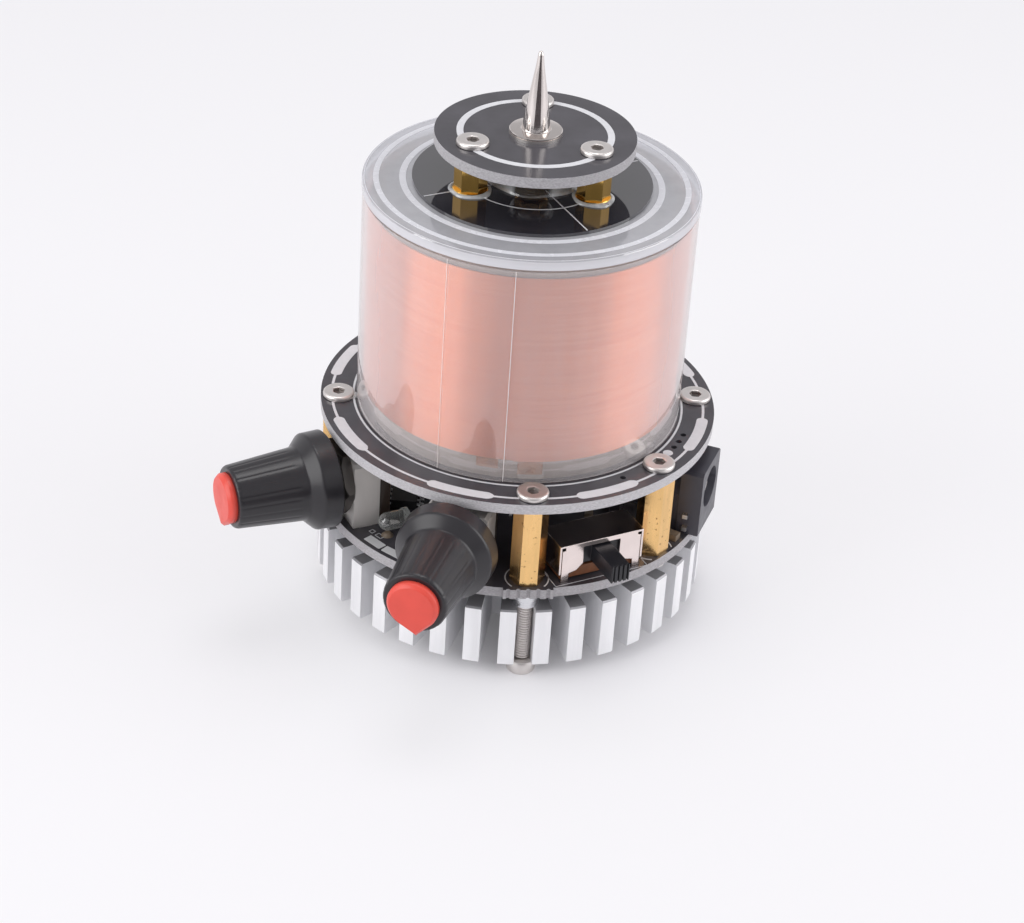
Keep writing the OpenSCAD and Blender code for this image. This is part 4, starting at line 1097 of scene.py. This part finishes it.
def make_world():
    """White surroundings, bright behind and dimmer in front.

    They are darkest round the camera and in the band that level faces mirror.
    """
    world = bpy.data.worlds.new("tent")
    bpy.context.scene.world = world
    world.use_nodes = True
    tree = world.node_tree
    tree.nodes.clear()
    out = tree.nodes.new("ShaderNodeOutputWorld")
    sky = tree.nodes.new("ShaderNodeBackground")
    coord = tree.nodes.new("ShaderNodeTexCoord")
    split = tree.nodes.new("ShaderNodeSeparateXYZ")
    tree.links.new(coord.outputs["Generated"], split.inputs[0])

    def ramp(value, start, end, low, high):
        node = tree.nodes.new("ShaderNodeMapRange")
        node.interpolation_type = "SMOOTHSTEP"
        for key, number in (("From Min", start), ("From Max", end), ("To Min", low), ("To Max", high)):
            node.inputs[key].default_value = number
        tree.links.new(value, node.inputs["Value"])
        return node.outputs["Result"]

    def math_of(operation, a, b=None):
        node = tree.nodes.new("ShaderNodeMath")
        node.operation = operation
        tree.links.new(a, node.inputs[0])
        if b is not None:
            tree.links.new(b, node.inputs[1])
        return node.outputs[0]

    ahead = split.outputs["Y"]
    level = ramp(ahead, -0.95, -0.1, FRONT_LEVEL, SIDE_LEVEL)
    level = math_of("ADD", level, ramp(ahead, 0.1, 0.45, 0, BACK_LEVEL - SIDE_LEVEL))
    aside = math_of("ABSOLUTE", split.outputs["X"])
    near = math_of("MULTIPLY", ramp(ahead, -0.55, -0.8, 0, 1), ramp(aside, 0.42, 0.12, 0, CAMERA_DIM))
    up = split.outputs["Z"]
    band = math_of("MULTIPLY", ramp(up, 0.28, 0.4, 0, 1), ramp(up, 0.8, 0.68, 0, 1))
    mirrored = math_of("MULTIPLY", ramp(ahead, 0.5, 0.66, 0, MIRROR_DIM), band)
    level = math_of("SUBTRACT", level, mirrored)
    tree.links.new(math_of("SUBTRACT", level, near), sky.inputs["Strength"])
    sky.inputs["Color"].default_value = [*srgb("#f6f5f8"), 1]
    tree.links.new(sky.outputs[0], out.inputs["Surface"])


def make_lamp(name, place, width, height, radiance):
    """Soft box, aimed at the object, whose face shines at a radiance, where 1 is white."""
    light = bpy.data.lights.new(name, "AREA")
    light.shape = "RECTANGLE"
    light.size, light.size_y = width, height
    light.energy = radiance * math.pi * width * height
    obj = bpy.data.objects.new(name, light)
    bpy.context.scene.collection.objects.link(obj)
    obj.location = place
    obj.rotation_mode = "QUATERNION"
    obj.rotation_quaternion = (Vector(AIM) - Vector(place)).to_track_quat("-Z", "Y")


def make_flag():
    """Dark card low in front, which polished metal shows as its dark band."""
    n = Nodes("flag_card")
    card = n.new("ShaderNodeBsdfDiffuse")
    card.inputs["Color"].default_value = [*srgb("#565254"), 1]
    mesh = bpy.data.meshes.new("flag")
    left, right, y, low, high = -0.09, 0.2, -0.27, 0.002, 0.1
    corners = [(left, y, low), (right, y, low), (right, y, high), (left, y, high)]
    mesh.from_pydata(corners, [], [[0, 1, 2, 3]])
    mesh.materials.append(n.done(card.outputs[0]))
    flag = bpy.data.objects.new("flag", mesh)
    bpy.context.scene.collection.objects.link(flag)
    flag.visible_camera = False
    flag.visible_diffuse = False
    flag.visible_shadow = False


def make_camera():
    """Camera at the photograph's angle, fitted in pixels of its frame."""
    focal_px, image_w = 2590, 1024
    in_front, above_board = 338.8, 203.7
    position = Vector((0, -in_front, UP_TOP + above_board)) * MM
    yaw, pitch, roll = (math.radians(a) for a in (-0.04, 32.46, 3.855))
    level = Vector((math.sin(yaw), math.cos(yaw), 0))
    ahead = level * math.cos(pitch) - Vector((0, 0, math.sin(pitch)))
    right = Vector((math.cos(yaw), -math.sin(yaw), 0))
    up = right.cross(ahead)
    x = right * math.cos(roll) + up * math.sin(roll)
    y = up * math.cos(roll) - right * math.sin(roll)
    data = bpy.data.cameras.new("camera")
    data.sensor_width = 36
    data.lens = data.sensor_width * focal_px / image_w
    data.clip_start, data.clip_end = 0.01, 60
    obj = bpy.data.objects.new("camera", data)
    bpy.context.scene.collection.objects.link(obj)
    obj.matrix_world = columns(x, y, -ahead, position)
    bpy.context.scene.camera = obj


make_camera()
make_world()
make_stage()
for name, place, width, height, radiance in (
    ("left_box", (-0.417, -0.212, 0.25), 0.4, 0.45, 2.8),
    ("right_box", (0.46, -0.06, 0.24), 0.4, 0.45, 2.35),
    ("top_box", (-0.02, 0.1, 0.62), 0.3, 0.24, 3.4),
):
    make_lamp(name, place, width, height, radiance)
make_flag()

make_winding()
make_screws()
make_needle()
make_knob("left", 0)
make_knob("front", 9)
make_prints()
make_seam_glints()
make_tapes()
make_glue()

bpy.context.scene.view_settings.view_transform = "Standard"
